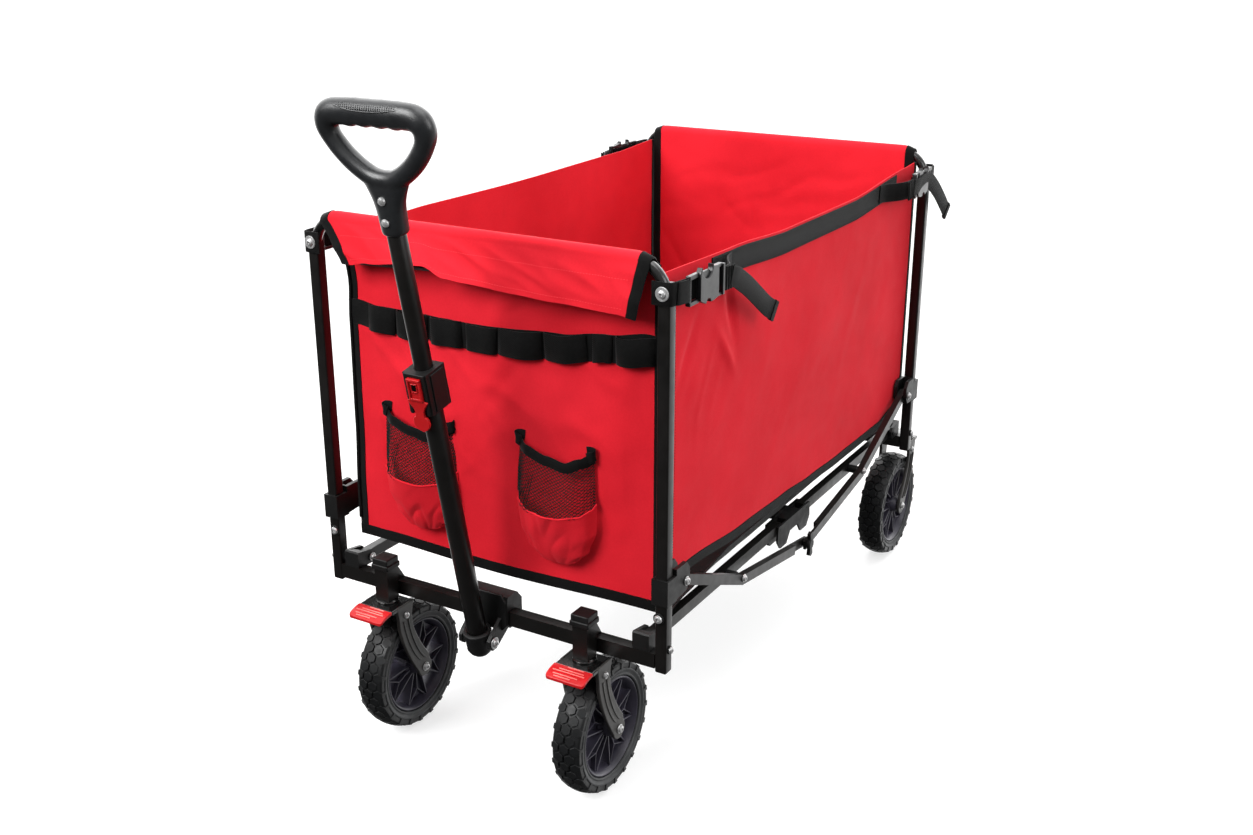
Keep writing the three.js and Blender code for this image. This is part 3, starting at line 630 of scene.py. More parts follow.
def front_and_rear_walls():
    rows = sum(END_ROWS)
    for name, front, body in (("front_wall", True, "front_frame"), ("rear_wall", False, "rear_frame")):
        surface = end_wall_surface(front)
        panel = sheet_mesh(
            f"{name}_cloth", 150, rows, lambda u, v: surface(0.004 + 0.992 * u, v),
            1.4, body, RED_CLOTH, replaces=(name,),
        )
        edges = Piece()
        binding_strip(edges, lambda a, v: surface(0.027 * (1 - a), v), rows, 3.2)
        binding_strip(
            edges, lambda a, v: surface(1 - 0.027 * (1 - a) * (0.45 if front and v < 0.66 else 1), v), rows, 3.2
        )
        low = [surface(k / 120, 0) for k in range(121)]
        out = -1 if front else 1
        edges.band([p + Vector((0, 0, 5)) for p in low], 15, 4.2)
        edges.make(f"{name}_binding", body, BINDING, angle=60)
        seams = Piece()
        start, end = 0.04, 0.96
        for share in ((0.86, 0.975) if front else (0.975,)):
            line = [surface(start + (end - start) * k / 110, share) + Vector((0, out * 0.75, 0)) for k in range(111)]
            stitch_row(seams, line, 1.6, 2.2, 0.28)
        seams.make(f"{name}_stitching", body, RED_THREAD)
    closure = Piece()
    line = [(-190 + 128 * k / 24, 669 + 6.5 * k / 24) for k in range(25)]
    closure.band([(x, -436.4, z + 8) for x, z in line], 16, 1.6)
    closure.make("flap_closure_tape", "front_frame", BINDING)
    edge = Piece()
    edge.band([(x, -437.6, z + 0.5) for x, z in line], 3.4, 1.2)
    edge.make("flap_closure_selvedge", "front_frame", GREY_EDGE)


def binding_strip(piece, point, rows, thickness):
    """Tape folded over an edge: point(a, v) runs across it with a from 0 to 1."""
    path = [(point(0, j / rows), point(1, j / rows)) for j in range(rows + 1)]
    points = []
    for j, (a, b) in enumerate(path):
        before, after = path[max(0, j - 1)], path[min(rows, j + 1)]
        ahead = (after[0] - before[0]).normalized()
        off = (b - a).cross(ahead).normalized() * (thickness / 2)
        rim = (b - a).normalized() * 1.4
        points += [a + off, b + off * 0.9, b + rim, b - off * 0.9, a - off]
    piece.rings(points, 5)


def stitch_row(piece, points, stitch=3.4, gap=1.9, radius=0.35):
    """Short thread stitches laid along a line."""
    points = [Vector(p) for p in points]
    lengths = [0.0]
    for a, b in zip(points, points[1:]):
        lengths.append(lengths[-1] + (b - a).length)

    def along(s):
        for k in range(len(points) - 1):
            if s <= lengths[k + 1]:
                t = (s - lengths[k]) / max(1e-6, lengths[k + 1] - lengths[k])
                return points[k].lerp(points[k + 1], t)
        return points[-1]

    s = 0.0
    while s + stitch < lengths[-1]:
        piece.rod(along(s), along(s + stitch), radius, 5, 0.1)
        s += stitch + gap


SQUASHED = []  # pieces that fold up between the hoops; here each only gets a mesh of its own


def side_walls():
    for name, side in SIDES:
        def whole(u, v):
            y = -WALL_HALF + 2 * WALL_HALF * u
            low, high = side_low(y), side_strap(y, side) + 18
            return side_surface(y, low + (high - low) * v, side)

        panel = sheet_mesh(
            f"side_wall_{name}_cloth", 180, 84, whole, 1.4, "front_frame", RED_CLOTH, replaces=(f"side_wall_{name}",)
        )
        steps = [-WALL_HALF + 2 * WALL_HALF * k / 150 for k in range(151)]
        hem = Piece()
        hem.band([side_surface(y, side_low(y) + 4, side) for y in steps], 14, 4.2)
        for y in (-WALL_HALF, WALL_HALF):
            low, high = side_low(y), side_strap(y, side) + 18
            hem.band([side_surface(y, low + (high - low) * k / 40, side) for k in range(41)], 9, 3.6, (0, 1, 0))
        hem.make(f"side_wall_{name}_binding", "front_frame", BINDING, angle=60)
        band = Piece()
        inner = [y for y in steps if -306 <= y <= 340]
        band.band([side_surface(y, side_strap(y, side), side, 1.6) for y in inner], 30, 1.6)
        band.make(f"side_strap_{name}", "front_frame", WEBBING, angle=60)
        thread = Piece()
        for offset in (-13, 13):
            stitch_row(thread, [side_surface(y, side_strap(y, side) + offset, side, 2.6) for y in inner])
        low = side_low(-407) + 12
        stitch_row(
            thread, [side_surface(-393.5, low + (668 - low) * k / 60, side, 0.9) for k in range(61)], 1.8, 2.0, 0.3
        )
        thread.make(f"side_wall_{name}_stitching", "front_frame", BLACK_THREAD)
        for piece in ("cloth", "binding", "stitching"):
            SQUASHED.append(bpy.data.objects[f"side_wall_{name}_{piece}"])
        SQUASHED.append(bpy.data.objects[f"side_strap_{name}"])


# ---- Frame ----
def hoops():
    for end, sign, body in ENDS:
        y = sign * POST_Y
        square = rounded_square(TUBE / 2, 2.2)
        for label, side in SIDES:
            post = Piece()
            path = [(side * POST_X, y, z) for z in (FRAME_BOTTOM, 330, 450, 570, 703)]
            post.sweep(path, lambda i: square, (0, 1, 0))
            post.make(f"{end}_post_{label}", body, STEEL, bevel=0.6, angle=50)
        arch = Piece()
        r, cx, cz = HOOP_BEND - 8, POST_X + 8 - HOOP_BEND, HOOP_TOP - HOOP_BEND
        path = [(-POST_X, y, 668), (-POST_X, y, cz)]
        path += [
            (-cx - r * math.cos(a), y, cz + r * math.sin(a)) for a in [math.pi / 2 * k / 12 for k in range(1, 13)]
        ]
        path += [
            (cx + r * math.cos(a), y, cz + r * math.sin(a)) for a in [math.pi / 2 * (12 - k) / 12 for k in range(13)]
        ]
        path += [(POST_X, y, 668)]
        ring = [(7.0 * math.cos(2 * math.pi * k / 20), 7.4 * math.sin(2 * math.pi * k / 20)) for k in range(20)]
        arch.sweep(path, lambda i: ring, (0, 1, 0))
        arch.make(f"{end}_arch", body, STEEL_GLOSS, angle=50, replaces=(f"{end}_hoop",))
        for label, side in SIDES:
            cap = Piece()
            cap.box((side * POST_X - 7, side * POST_X + 7), (y - 7, y + 7), (FRAME_BOTTOM - 1.2, FRAME_BOTTOM + 3))
            cap.make(f"{end}_post_plug_{label}", body, PLASTIC, bevel=1.0)


def bolt(silver, dark, centre, axis, washer=9.0, head=6.2, pad=0.0):
    """A washer and a domed head with a socket, standing on a face at centre."""
    axis = Vector(axis).normalized()
    centre = Vector(centre)
    if pad:
        dark.turned([(pad - 0.5, 0), (pad, 0.5), (pad, 1.7), (pad - 0.6, 2.3)], centre, axis, 28)
        centre = centre + axis * 2.2
    if washer:
        silver.turned([(washer - 0.3, 0), (washer, 0.4), (washer, 1.2), (washer - 0.5, 1.7)], centre, axis, 32)
        centre = centre + axis * 1.5
    silver.turned(
        [
            (head, 0), (head, 0.8), (head * 0.86, 2.2), (head * 0.55, 3.0), (head * 0.4, 3.1), (head * 0.36, 1.2),
            (0, 1.0)
        ],
        centre, axis, 24,
    )


def frame_bolts():
    """Bolts of the hoops, sliders and link crossings, and the knobs at y 0."""
    for end, sign, body in ENDS:
        silver, dark = Piece(), Piece()
        for side in (-1, 1):
            face = sign * (POST_Y + TUBE / 2)
            bolt(silver, dark, (side * POST_X, face + sign * 2.8, 692), (0, sign, 0), 8.6, 5.0)
            bolt(silver, dark, (side * 258, face, 283), (0, sign, 0), 0, 5.6, 7.6)
            bolt(silver, dark, (side * (POST_X + 8), sign * POST_Y, 239), (side, 0, 0), 0, 4.6, 5.4)
            bolt(silver, dark, (side * (228 - 9), sign * 420, 240), (-side, 0, 0), 6.2, 4.2)
        silver.make(f"{end}_frame_bolts", body, ZINC)
        dark.make(f"{end}_frame_washers", body, PLASTIC)
    for end, sign, body in ENDS:
        silver, dark = Piece(), Piece()
        for side in (-1, 1):
            bolt(silver, dark, (side * 271.6, sign * 404, SLIDER_Z), (side, 0, 0), 6.0, 4.8)
        silver.make(f"slider_bolts_{end}", f"sliders_{end}", ZINC)
        silver, dark = Piece(), Piece()
        for side in (-1, 1):
            bolt(silver, dark, (side * 265.1, sign * CROSSING_Y, 243), (side, 0, 0), 5.6, 4.4)
            dark.rod((side * 238.4, sign * CROSSING_Y, 243), (side * 254.9, sign * CROSSING_Y, 243), 6.5)
        silver.make(f"link_bolts_{end}", f"links_{end}", ZINC)
        dark.make(f"link_spacers_{end}", f"links_{end}", PLASTIC)
    knob = Piece()
    for side in (-1, 1):
        centre = Vector((side * 265.2, 0, KNOB_Z))
        knob.turned([(8, 0), (9, 1), (9, 5), (7, 7)], centre, (side, 0, 0), 24)
        for lobe in (-1, 1):
            wing = [(-4, 2), (4, 2), (6, 17), (0, 20), (-6, 17)]
            outline = [(a * 0.9, KNOB_Z + lobe * b) for a, b in wing]
            knob.prism(outline, side * 266, side * 271.5)
        knob.rod((side * 253.5, 0, KNOB_Z), (side * 266, 0, KNOB_Z), 5.5)
    knob.make("link_knobs", "links_front", PLASTIC, bevel=0.8)


def stems():
    """Caps over the caster stems, and the collars under them."""
    cap, welds = Piece(), Piece()
    for side in (-1, 1):
        x = side * CASTER_X
        cap.box((x - 14, x + 14), (CASTER_Y - 14, CASTER_Y + 14), (256, 264))
        cap.box((x - 12.8, x + 12.8), (CASTER_Y - 12.8, CASTER_Y + 12.8), (263, 272.5))
        welds.turned([(15.5, 0), (15.5, 2.2), (12, 4)], (x, CASTER_Y, 206.2), (0, 0, 1), 28)
    cap.make("stem_caps", "front_frame", PLASTIC, bevel=1.8, segments=3)
    welds.make("swivel_collars", "front_frame", STEEL_GLOSS, bevel=0.4)


# The leg's front edge going down and its back edge going up: (y from the plate, z)
LEG_FRONT = [(-15, 206), (-12, 185), (-11, 171), (-4, 146), (5, 124), (14, 106)]
LEG_REAR = [(48, 109), (38, 124), (30, 138), (22, 155), (18, 168), (16, 186), (22, 206)]


RIB_OUT = [(1.2, 1.3), (2.0, 0), (1.2, -1.3), (-1, -1.3), (-1, 1.3)]
RIB_IN = [(1, 1.3), (1, -1.3), (-1.2, -1.3), (-2.0, 0), (-1.2, 1.3)]


def leg_outline():
    tip = [
        (FORK_TRAIL + 14.5 * math.cos(a), WHEEL_R + 14.5 * math.sin(a)) for a in [
            math.radians(d) for d in range(190, 401, 15)
        ]
    ]
    front, back = [[(p[0], p[1]) for p in smooth_path([(a, b, 0) for a, b in e], 4)] for e in (LEG_FRONT, LEG_REAR)]
    return front[:-1] + tip + back


def fork(name, body, x, y, flip, replaces):
    """flip is 1 when the axle is behind the plate (+y) and -1 when it is in front of it."""
    plate = Piece()
    low, high = sorted((y - 26 * flip, y + 21 * flip))
    plate.box((x - FORK_OUTER, x + FORK_OUTER), (low, high), (199.6, 206))
    plate.make(f"{name}_plate", body, STEEL_GLOSS, bevel=2.0, segments=3, replaces=(replaces,))
    legs, ribs, bolts, dark = Piece(), Piece(), Piece(), Piece()
    outline = [(y + a * flip, b) for a, b in leg_outline()]
    for side in (-1, 1):
        inner, outer = x + side * FORK_INNER, x + side * (FORK_OUTER + 0.4)
        legs.prism(outline, min(inner, outer), max(inner, outer))
        middle = smooth_path([(2, 181, 0), (5, 166, 0), (11, 146, 0), (20, 126, 0), (29, 112, 0), (34, 107, 0)], 6)
        path = [(x + side * (FORK_OUTER + 0.6), y + p[0] * flip, p[1]) for p in middle]
        for offset in (-4.8, 4.8):
            shifted = [(a, b + offset * flip, c) for a, b, c in path]
            ribs.sweep(shifted, lambda i: RIB_OUT if side * flip < 0 else RIB_IN, (0, 1, 0))
        bolt(bolts, dark, (x + side * (FORK_OUTER + 0.4), y + FORK_TRAIL * flip, WHEEL_R), (side, 0, 0), 6.4, 5.0)
        bolt(bolts, dark, (x + side * (FORK_OUTER + 0.4), y + 3 * flip, 189), (side, 0, 0), 0, 4.8)
    legs.make(f"{name}_legs", body, FORK_GREY, bevel=1.6, segments=3, angle=40)
    ribs.make(f"{name}_ribs", body, FORK_GREY, bevel=0.5, angle=50)
    bolts.rod((x - 27, y + FORK_TRAIL * flip, WHEEL_R), (x + 27, y + FORK_TRAIL * flip, WHEEL_R), 3.9)
    return bolts


# ---- Wheels ----
def crown(x):
    """The tyre's radius at x from its middle."""
    return WHEEL_R - 0.012 * x * x


def tread_block(piece, x, y, angle, column, radius):
    """One hexagonal block of the tread at a place round the tyre."""
    tops, bottoms = [], []
    for k in range(6):
        a = math.pi / 6 + math.pi / 3 * k
        for scale, depth, out in ((0.80, 0.0, tops), (0.93, 3.2, bottoms)):
            across = column + radius * scale * math.cos(a)
            around = radius * scale * math.sin(a)
            across = max(-20.3, min(20.3, across))
            turn = angle + around / WHEEL_R
            r = crown(across) - depth
            out.append((x + across, y + r * math.sin(turn), WHEEL_R + r * math.cos(turn)))
    sides = [[k, (k + 1) % 6, 6 + (k + 1) % 6, 6 + k] for k in range(6)]
    piece.add(tops + bottoms, [list(range(6)), list(range(6, 12)), *sides])


def wheel(label, body, x, y, tyre_node, hub_node, phase):
    half = [
        (68, 16.4), (69, 18.0), (71.5, 18.6), (72.3, 17.7), (75, 18.6), (76, 19.8), (77, 19.0), (81, 20.2),
        (85.5, 20.2), (87.6, 18.2), (89.0, 12), (89.4, 0)
    ]
    profile = [(r, a) for r, a in half] + [(r, -a) for r, a in reversed(half[:-1])]
    tyre = Piece().turned(profile, (x, y, WHEEL_R), (1, 0, 0), 96, ring=True)
    pairs = 22
    radius = 2 * math.pi * WHEEL_R / (pairs * 3)
    pitch = radius * math.sqrt(3)
    for row in range(pairs * 2):
        angle = phase + 2 * math.pi * row / (pairs * 2)
        columns = (-pitch / 2, pitch / 2) if row % 2 else (-pitch, 0, pitch)
        for column in columns:
            tread_block(tyre, x, y, angle, column, radius)
        if not row % 2:
            for side in (-1, 1):
                lug = []
                for r, spread in ((78.5, 0.030), (87.2, 0.042)):
                    for da in (-spread, spread):
                        for reach in (16.0, 21.2):
                            a = angle + da
                            lug.append((x + side * reach, y + r * math.sin(a), WHEEL_R + r * math.cos(a)))
                faces = [(0, 1, 3, 2), (4, 6, 7, 5), (0, 4, 5, 1), (2, 3, 7, 6), (0, 2, 6, 4), (1, 5, 7, 3)]
                tyre.add(lug, faces)
    tyre.make(f"{label}_tyre_tread", body, TYRE_RUBBER, bevel=0.5, segments=2, angle=32, replaces=(tyre_node,))
    ring = Piece()
    for side in (-1, 1):
        shape = [
            (68.6, 17.6), (69.2, 19.0), (71.2, 19.4), (72.1, 18.5), (75.0, 19.3), (75.9, 20.4), (78.2, 20.9),
            (79.0, 20.2), (79.0, 16), (68.6, 16)
        ]
        ring.turned([(r, side * a) for r, a in shape], (x, y, WHEEL_R), (1, 0, 0), 96, ring=True)
    ring.make(f"{label}_sidewall", body, SIDEWALL_RUBBER, angle=60)
    hub = Piece()
    rim = [
        (67.6, -17), (66.0, -18), (64.4, -17), (62.2, -11), (59.5, -6), (59.5, 6), (62.2, 11), (64.4, 17), (66.0, 18),
        (67.6, 17)
    ]
    hub.turned(rim, (x, y, WHEEL_R), (1, 0, 0), 72, ring=True)
    hub.turned(
        [
            (4.2, -21.5), (11, -21.5), (13, -19), (14.5, -10), (20, -8), (20, 8), (14.5, 10), (13, 19), (11, 21.5),
            (4.2, 21.5)
        ],
        (x, y, WHEEL_R), (1, 0, 0), 40, ring=True
    )

    def polar(r, a):
        return (y + r * math.sin(a), WHEEL_R + r * math.cos(a))

    def bar(r0, a0, r1, a1, width, reach):
        p, q = Vector(polar(r0, a0)), Vector(polar(r1, a1))
        n = Vector((p.y - q.y, q.x - p.x)).normalized() * width / 2
        hub.prism([tuple(p + n), tuple(q + n), tuple(q - n), tuple(p - n)], x - reach, x + reach)

    for k in range(5):
        a = phase + 2 * math.pi * k / 5
        web = [polar(15, a - 0.50), polar(61, a - 0.34), polar(61, a + 0.34), polar(15, a + 0.50)]
        hub.prism(web, x - 4.5, x + 4.5)
        for side in (-1, 1):
            bar(15, a + side * 0.50, 61.5, a + side * 0.34, 2.2, 12.5)
            bar(40, a, 61.5, a + side * 0.30, 1.6, 11.5)
        bar(13, a, 41, a, 1.8, 11.5)
    hub.make(f"{label}_hub_spokes", body, HUB_PLASTIC, bevel=0.5, angle=40, replaces=(hub_node,))


def pedal(side_name, side):
    x = side * CASTER_X
    y = CASTER_Y - 26.5
    plate, ridges = Piece(), Piece()
    profile = smooth_path([(y + 0.5, 206.2, 0), (y - 8, 205.2, 0), (y - 17, 202.6, 0), (y - 23.4, 198.8, 0)], 5)
    count = len(profile) - 1
    points, faces = [], []
    for j, p in enumerate(profile):
        reach = 28.5 - (5.0 * max(0.0, j / count - 0.75) / 0.25) ** 2 / 7
        for dz in (0, -4.2):
            points += [(x + reach * k / 4, p[0], p[1] + dz) for k in range(-4, 5)]
    for j in range(count):
        a, b = j * 18, (j + 1) * 18
        for k in range(8):
            faces.append([a + k, a + k + 1, b + k + 1, b + k])
            faces.append([a + 9 + k, a + 10 + k, b + 10 + k, b + 9 + k])
        faces += [[a, b, b + 9, a + 9], [a + 8, b + 8, b + 17, a + 17]]
    for a in (0, count * 18):
        faces += [[a + k, a + k + 1, a + 10 + k, a + 9 + k] for k in range(8)]
    plate.add(points, faces)
    plate.make(
        f"brake_pedal_{side_name}_plate", f"brake_{side_name}", RED_PLASTIC, bevel=1.3, segments=3, angle=50,
        replaces=(f"brake_pedal_{side_name}",),
    )
    # Painted highlight: the ridges get a pale pink instead of the pedal's red.
    for k, (reach, shift) in enumerate(((12, 5), (18, 2), (23, 0), (18, -2), (12, -5))):
        t = 0.14 + 0.165 * k
        p = profile[round(t * count)]
        ridges.rod((x + shift - reach, p[0], p[1] + 0.2), (x + shift + reach, p[0], p[1] + 0.2), 0.85, 10, 0.4)
    ridges.make(f"brake_pedal_{side_name}_ridges", f"brake_{side_name}", RED_RIDGE_HIGHLIGHT)


def running_gear():
    for name, side in SIDES:
        x = side * CASTER_X
        axle = fork(f"caster_{name}", f"caster_{name}", x, CASTER_Y, 1, f"caster_fork_{name}")
        axle.make(f"caster_{name}_bolts", f"caster_{name}", ZINC, replaces=(f"caster_axle_{name}",))
        wheel(
            f"caster_{name}", f"caster_wheel_{name}", x, CASTER_Y + FORK_TRAIL, f"caster_tyre_{name}",
            f"caster_hub_{name}", 0.25 + 0.4 * (side < 0)
        )
        pedal(name, side)
        x = side * REAR_WHEEL_X
        axle = fork(f"rear_{name}", "rear_frame", x, REAR_FORK_Y, -1, f"rear_fork_{name}")
        axle.make(f"rear_{name}_bolts", "rear_frame", ZINC, replaces=(f"rear_axle_{name}",))
        wheel(
            f"rear_{name}", f"rear_wheel_{name}", x, REAR_FORK_Y - FORK_TRAIL, f"rear_tyre_{name}",
            f"rear_hub_{name}", 0.1
        )


# ---- Handle ----
def tube_along(name, body, radius, low, high, material, replaces):
    tube = Piece()
    profile = [
        (radius - 1.4, low), (radius - 0.3, low), (radius, low + 0.5), (radius, high - 0.5), (radius - 0.3, high),
        (radius - 1.4, high)
    ]
    tube.turned(profile, leaned(0, 0, 0), lean_way(0, 0, 1), 56, ring=True)
    return tube.make(name, body, material, replaces=replaces, angle=50)


def grip_skin():
    """The loop is swept, the neck is lofted, and a remesh makes them one skin."""
    loop = Piece()
    line = smooth_path(
        [(0, 0, 637), (20, 0, 641), (44, 0, 658), (62, 0, 680), (67, 0, 697), (59, 0, 709), (38, 0, 712), (0, 0, 712.5),
         (-38, 0, 712), (-59, 0, 709), (-67, 0, 697), (-62, 0, 680), (-44, 0, 658), (-20, 0, 641)],
        7, closed=True,
    )

    def section(i):
        top = max(0.0, min(1.0, (line[i].z - 682) / 24))
        wide, tall = 11.5 + 3.6 * top, 11.2 + 2.0 * top
        scallop = 1.5 * (0.5 - 0.5 * math.cos(2 * math.pi * line[i].x / 21)) * top if abs(line[i].x) < 47 else 0
        turns = [2 * math.pi * k / 24 for k in range(24)]
        inward = [max(0.0, math.cos(a)) ** 2 for a in turns]
        return [(wide * math.cos(a) + scallop * w * 1.7, tall * math.sin(a)) for a, w in zip(turns, inward)]

    forward = lean_way(0, 1, 0)
    loop.sweep([leaned(*p) for p in line], section, tuple(forward), closed=True)
    rings = [
        (574.5, 14.8, 13.2), (577, 16.4, 14.4), (590, 17.2, 14.6), (602, 18.2, 14.3), (612, 20.5, 13.4),
        (622, 25, 12.3), (631, 30, 11.2), (638, 31, 8.5)
    ]
    points = []
    for z, a, b in rings:
        points += [
            leaned(a * math.cos(2 * math.pi * k / 28), b * math.sin(2 * math.pi * k / 28), z) for k in range(28)
        ]
    loop.rings(points, 28)
    obj = loop.make("handle_grip_loop", None, GRIP_PLASTIC, replaces=("handle_grip",))
    remesh = obj.modifiers.new("one_skin", "REMESH")
    remesh.mode = "VOXEL"
    remesh.voxel_size = 0.0012
    smooth = obj.modifiers.new("fair", "SMOOTH")
    smooth.factor = 0.6
    smooth.iterations = 22
    final(obj)
    obj.data.polygons.foreach_set("use_smooth", [True] * len(obj.data.polygons))
    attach(obj, "handle_extension")


def grip():
    grip_skin()
    patch, dots = Piece(), Piece()

    def on_top(x, turn, lift):
        drop = 0.0 if abs(x) < 34 else 0.02 * (abs(x) - 34) ** 2
        return leaned(x, (13.8 + lift) * math.sin(turn), 712.1 - drop + (14.0 + lift) * math.cos(turn))

    lean = math.radians(-34)
    rim = []
    for k in range(64):
        a = 2 * math.pi * k / 64
        rim.append(on_top(45 * math.cos(a), lean + math.radians(34) * math.sin(a), 0.1))
    patch.sweep(
        rim, lambda i: [(0.7 * math.cos(math.pi * k / 4), 0.7 * math.sin(math.pi * k / 4)) for k in range(8)],
        (0, 0.1, 1), closed=True
    )
    patch.make("grip_patch_rim", "handle_extension", GRIP_PLASTIC)
    for row in range(-3, 4):
        turn = lean + math.radians(row * 8.4)
        reach = 43 * math.sqrt(max(0, 1 - (row / 3.9) ** 2))
        count = int(reach // 3.0)
        for k in range(-count, count + 1):
            x = 3.0 * k
            out = lean_way(0, math.sin(turn), math.cos(turn))
            dots.turned([(0.85, -0.8), (0.95, 0.35), (0.5, 0.7)], on_top(x, turn, 0), out, 8)
    dots.make("grip_patch_dots", "handle_extension", GRIP_PLASTIC)
    rivets = Piece()
    front = lean_way(0, -1, 0)
    for z, y in ((592, -14.2), (617, -13.4)):
        rivets.turned([(4.9, -2), (4.9, 0.6), (4.3, 1.7), (2.6, 2.5), (0.6, 2.8)], leaned(0, y, z), front, 28)
    rivets.make("grip_rivets", "handle_extension", ZINC)


def latch():
    collar = NODES["latch_collar"]
    collar.data.materials.clear()
    collar.data.materials.append(PLASTIC)
    soften(collar, 1.4, 3, 40)
    trim = Piece()
    for x in (-12.5, 12.5):
        trim.box((x - 2.4, x + 2.4), (-21.4, -17), (352, 404))
    trim.box((-14.9, 14.9), (-21.4, -17), (402, 406))
    for x in (-17.4, 17.4):
        trim.box((x - 1.3, x + 1.3), (-12, 12), (354, 403))
    trim.points = [leaned(*p) for p in trim.points]
    trim.turned(
        [(13.6, -2), (13.6, 2.0), (16.6, 2.0), (16.8, -2)], leaned(0, 0, 404), lean_way(0, 0, 1), 40, ring=True
    )
    trim.make("latch_collar_ribs", "handle", PLASTIC, bevel=0.8)
    lever = Piece()
    right = [
        (9.4, 401), (9.4, 377), (9.0, 372.4), (15.2, 371.0), (12.6, 367), (8.6, 362), (6.4, 357), (6.0, 353),
        (6.8, 350)
    ]
    tab = [(11.6 * math.cos(a), 342 + 11.6 * math.sin(a)) for a in [math.radians(d) for d in range(40, -221, -12)]]
    outline = right + tab + [(-a, b) for a, b in reversed(right)]
    lever.prism(outline, -23.2, -19.6, axis="y", turn=leaned)
    rim = ((-9.4, 9.4, 397.5, 401), (-9.4, 9.4, 372.4, 375.4), (-9.4, -6.6, 374, 400), (6.6, 9.4, 374, 400))
    inner = ((-4.8, -3.4, 383, 395), (3.4, 4.8, 383, 395), (-4.8, 4.8, 393.6, 395), (-4.8, 4.8, 383, 384.4))
    for bars, low, high in ((rim, -25.0, -22.4), (inner, -24.4, -22.6)):
        for x0, x1, z0, z1 in bars:
            lever.prism([(x0, z0), (x1, z0), (x1, z1), (x0, z1)], low, high, axis="y", turn=leaned)
    lever.make("latch_lever_plate", "latch", RED_PLASTIC, bevel=0.7, segments=3, angle=45, replaces=("latch_lever",))
    # Painted shade: a near-black plate fills the lever's square hole where its shadowed inside shows.
    hole = Piece()
    hole.prism([(-3.2, 385), (3.2, 385), (3.2, 393), (-3.2, 393)], -23.6, -21.5, axis="y", turn=leaned)
    hole.make("latch_lever_window", "latch", PAINTED_SHADE, bevel=0.3, slot="plastic_red")


def handle_foot():
    cup = Piece()
    profile = [
        (6, -25), (10.5, -25), (14.6, -20.6), (17.4, -15), (17.4, 5), (18.6, 7), (19.2, 9.5), (18.8, 12), (17.4, 13),
        (13.3, 13), (13.3, -18), (6, -18)
    ]
    cup.turned(profile, leaned(0, 0, 0), lean_way(0, 0, 1), 48, ring=True)
    cup.make("handle_cup", "handle", PLASTIC, bevel=0.6, angle=40, replaces=("handle_socket",))
    bolts = Piece()
    bolt(bolts, bolts, (25.2, PIVOT_Y, PIVOT_Z), (1, 0, 0), 8.2, 5.4)
    bolt(bolts, bolts, (-25.2, PIVOT_Y, PIVOT_Z), (-1, 0, 0), 8.2, 5.4)
    bolts.rod((-26, PIVOT_Y, PIVOT_Z), (26, PIVOT_Y, PIVOT_Z), 3.9)
    bolts.make("handle_bolt", "front_frame", ZINC, replaces=("handle_pivot_bolt",))
    cover = Piece()
    block = [(-33, 212), (-33, 246), (-25, 257), (25, 257), (33, 246), (33, 212), (26, 205), (-26, 205)]
    cover.prism(block, -453.5, -448.6, axis="y")
    cover.make("handle_bracket_cover", "front_frame", PLASTIC, bevel=1.6, segments=3)


def handle():
    tube_along("handle_tube_lower", "handle", 13, -17.5, 398, STEEL, ("handle_outer_tube",))
    tube_along("handle_tube_upper", "handle_extension", 11.2, 190, 592, STEEL, ("handle_inner_tube",))
    grip()
    latch()
    handle_foot()


# ---- Corner straps and buckles ----
def corner_straps():
    """Each strap starts at the post, runs through a buckle and joins the side wall's webbing."""
    for end, sign, body in ENDS:
        for label, side in SIDES:
            name = f"{end}_{label}"

            def route(raw, steps=6):
                return smooth_path([(side * a, sign * b, c) for a, b, c in raw], steps)

            wrap = Piece()
            raw = [
                (246, 450.2, 692), (256, 450.6, 692), (266, 450.4, 692), (270.6, 448, 692), (272.6, 438, 692),
                (274, 424, 691.5), (275, 413, 691)
            ]
            wrap.band(route(raw), 28, 1.8)
            back = [(275, 413, 691), (276.6, 415, 691), (277.0, 424, 691.2), (275.6, 436, 691.6), (274.2, 441, 692)]
            wrap.band(route(back), 27, 1.6)
            raw = [
                (276.5, 339, 687), (276.0, 322, 686.2), (272, 306, 685.5), (262, 290, 685), (254, 274, 685.5),
                (250.8, 258, 686)
            ]
            wrap.band(route(raw), 28, 1.8)
            wrap.make(f"corner_strap_{name}", body, WEBBING, angle=60)
            stack = Piece()
            folds = [(278.6 + (1.9 if k % 2 else 0.2), 339 - 3.1 * k, 687 - 0.16 * k) for k in range(11)]
            stack.sweep(route(folds, 4), lambda i: rounded_band(28 + 1.6 * math.sin(i * 0.7), 2.2), (0, 0, 1))
            stack.make(f"strap_stack_{name}", body, WEBBING, angle=60)
            tail = Piece()
            if end == "front":
                raw = [
                    (281, 318, 686), (281.6, 306, 683), (281, 294, 677), (279.6, 268, 663), (278, 236, 643),
                    (277, 205, 623), (276.6, 180, 610)
                ]
            else:
                raw = [
                    (281, 330, 687), (282, 346, 688), (281, 372, 690), (280.6, 402, 688), (281, 440, 668),
                    (280, 482, 640), (279, 512, 618)
                ]
            path = route(raw)
            up = (0.1 * side, -sign * 0.42 if end == "front" else sign * 0.42, 1)
            tail.band(path, 26, 1.8, up)
            last, before = path[-1], path[-3]
            ahead = (last - before).normalized()
            tail.band([last - ahead * 8, last + ahead * 1.2], 27.5, 5.0, up)
            tail.make(f"strap_tail_{name}", body, WEBBING, angle=60)
            buckle(name, body, side, sign, f"buckle_{end}_{label}")


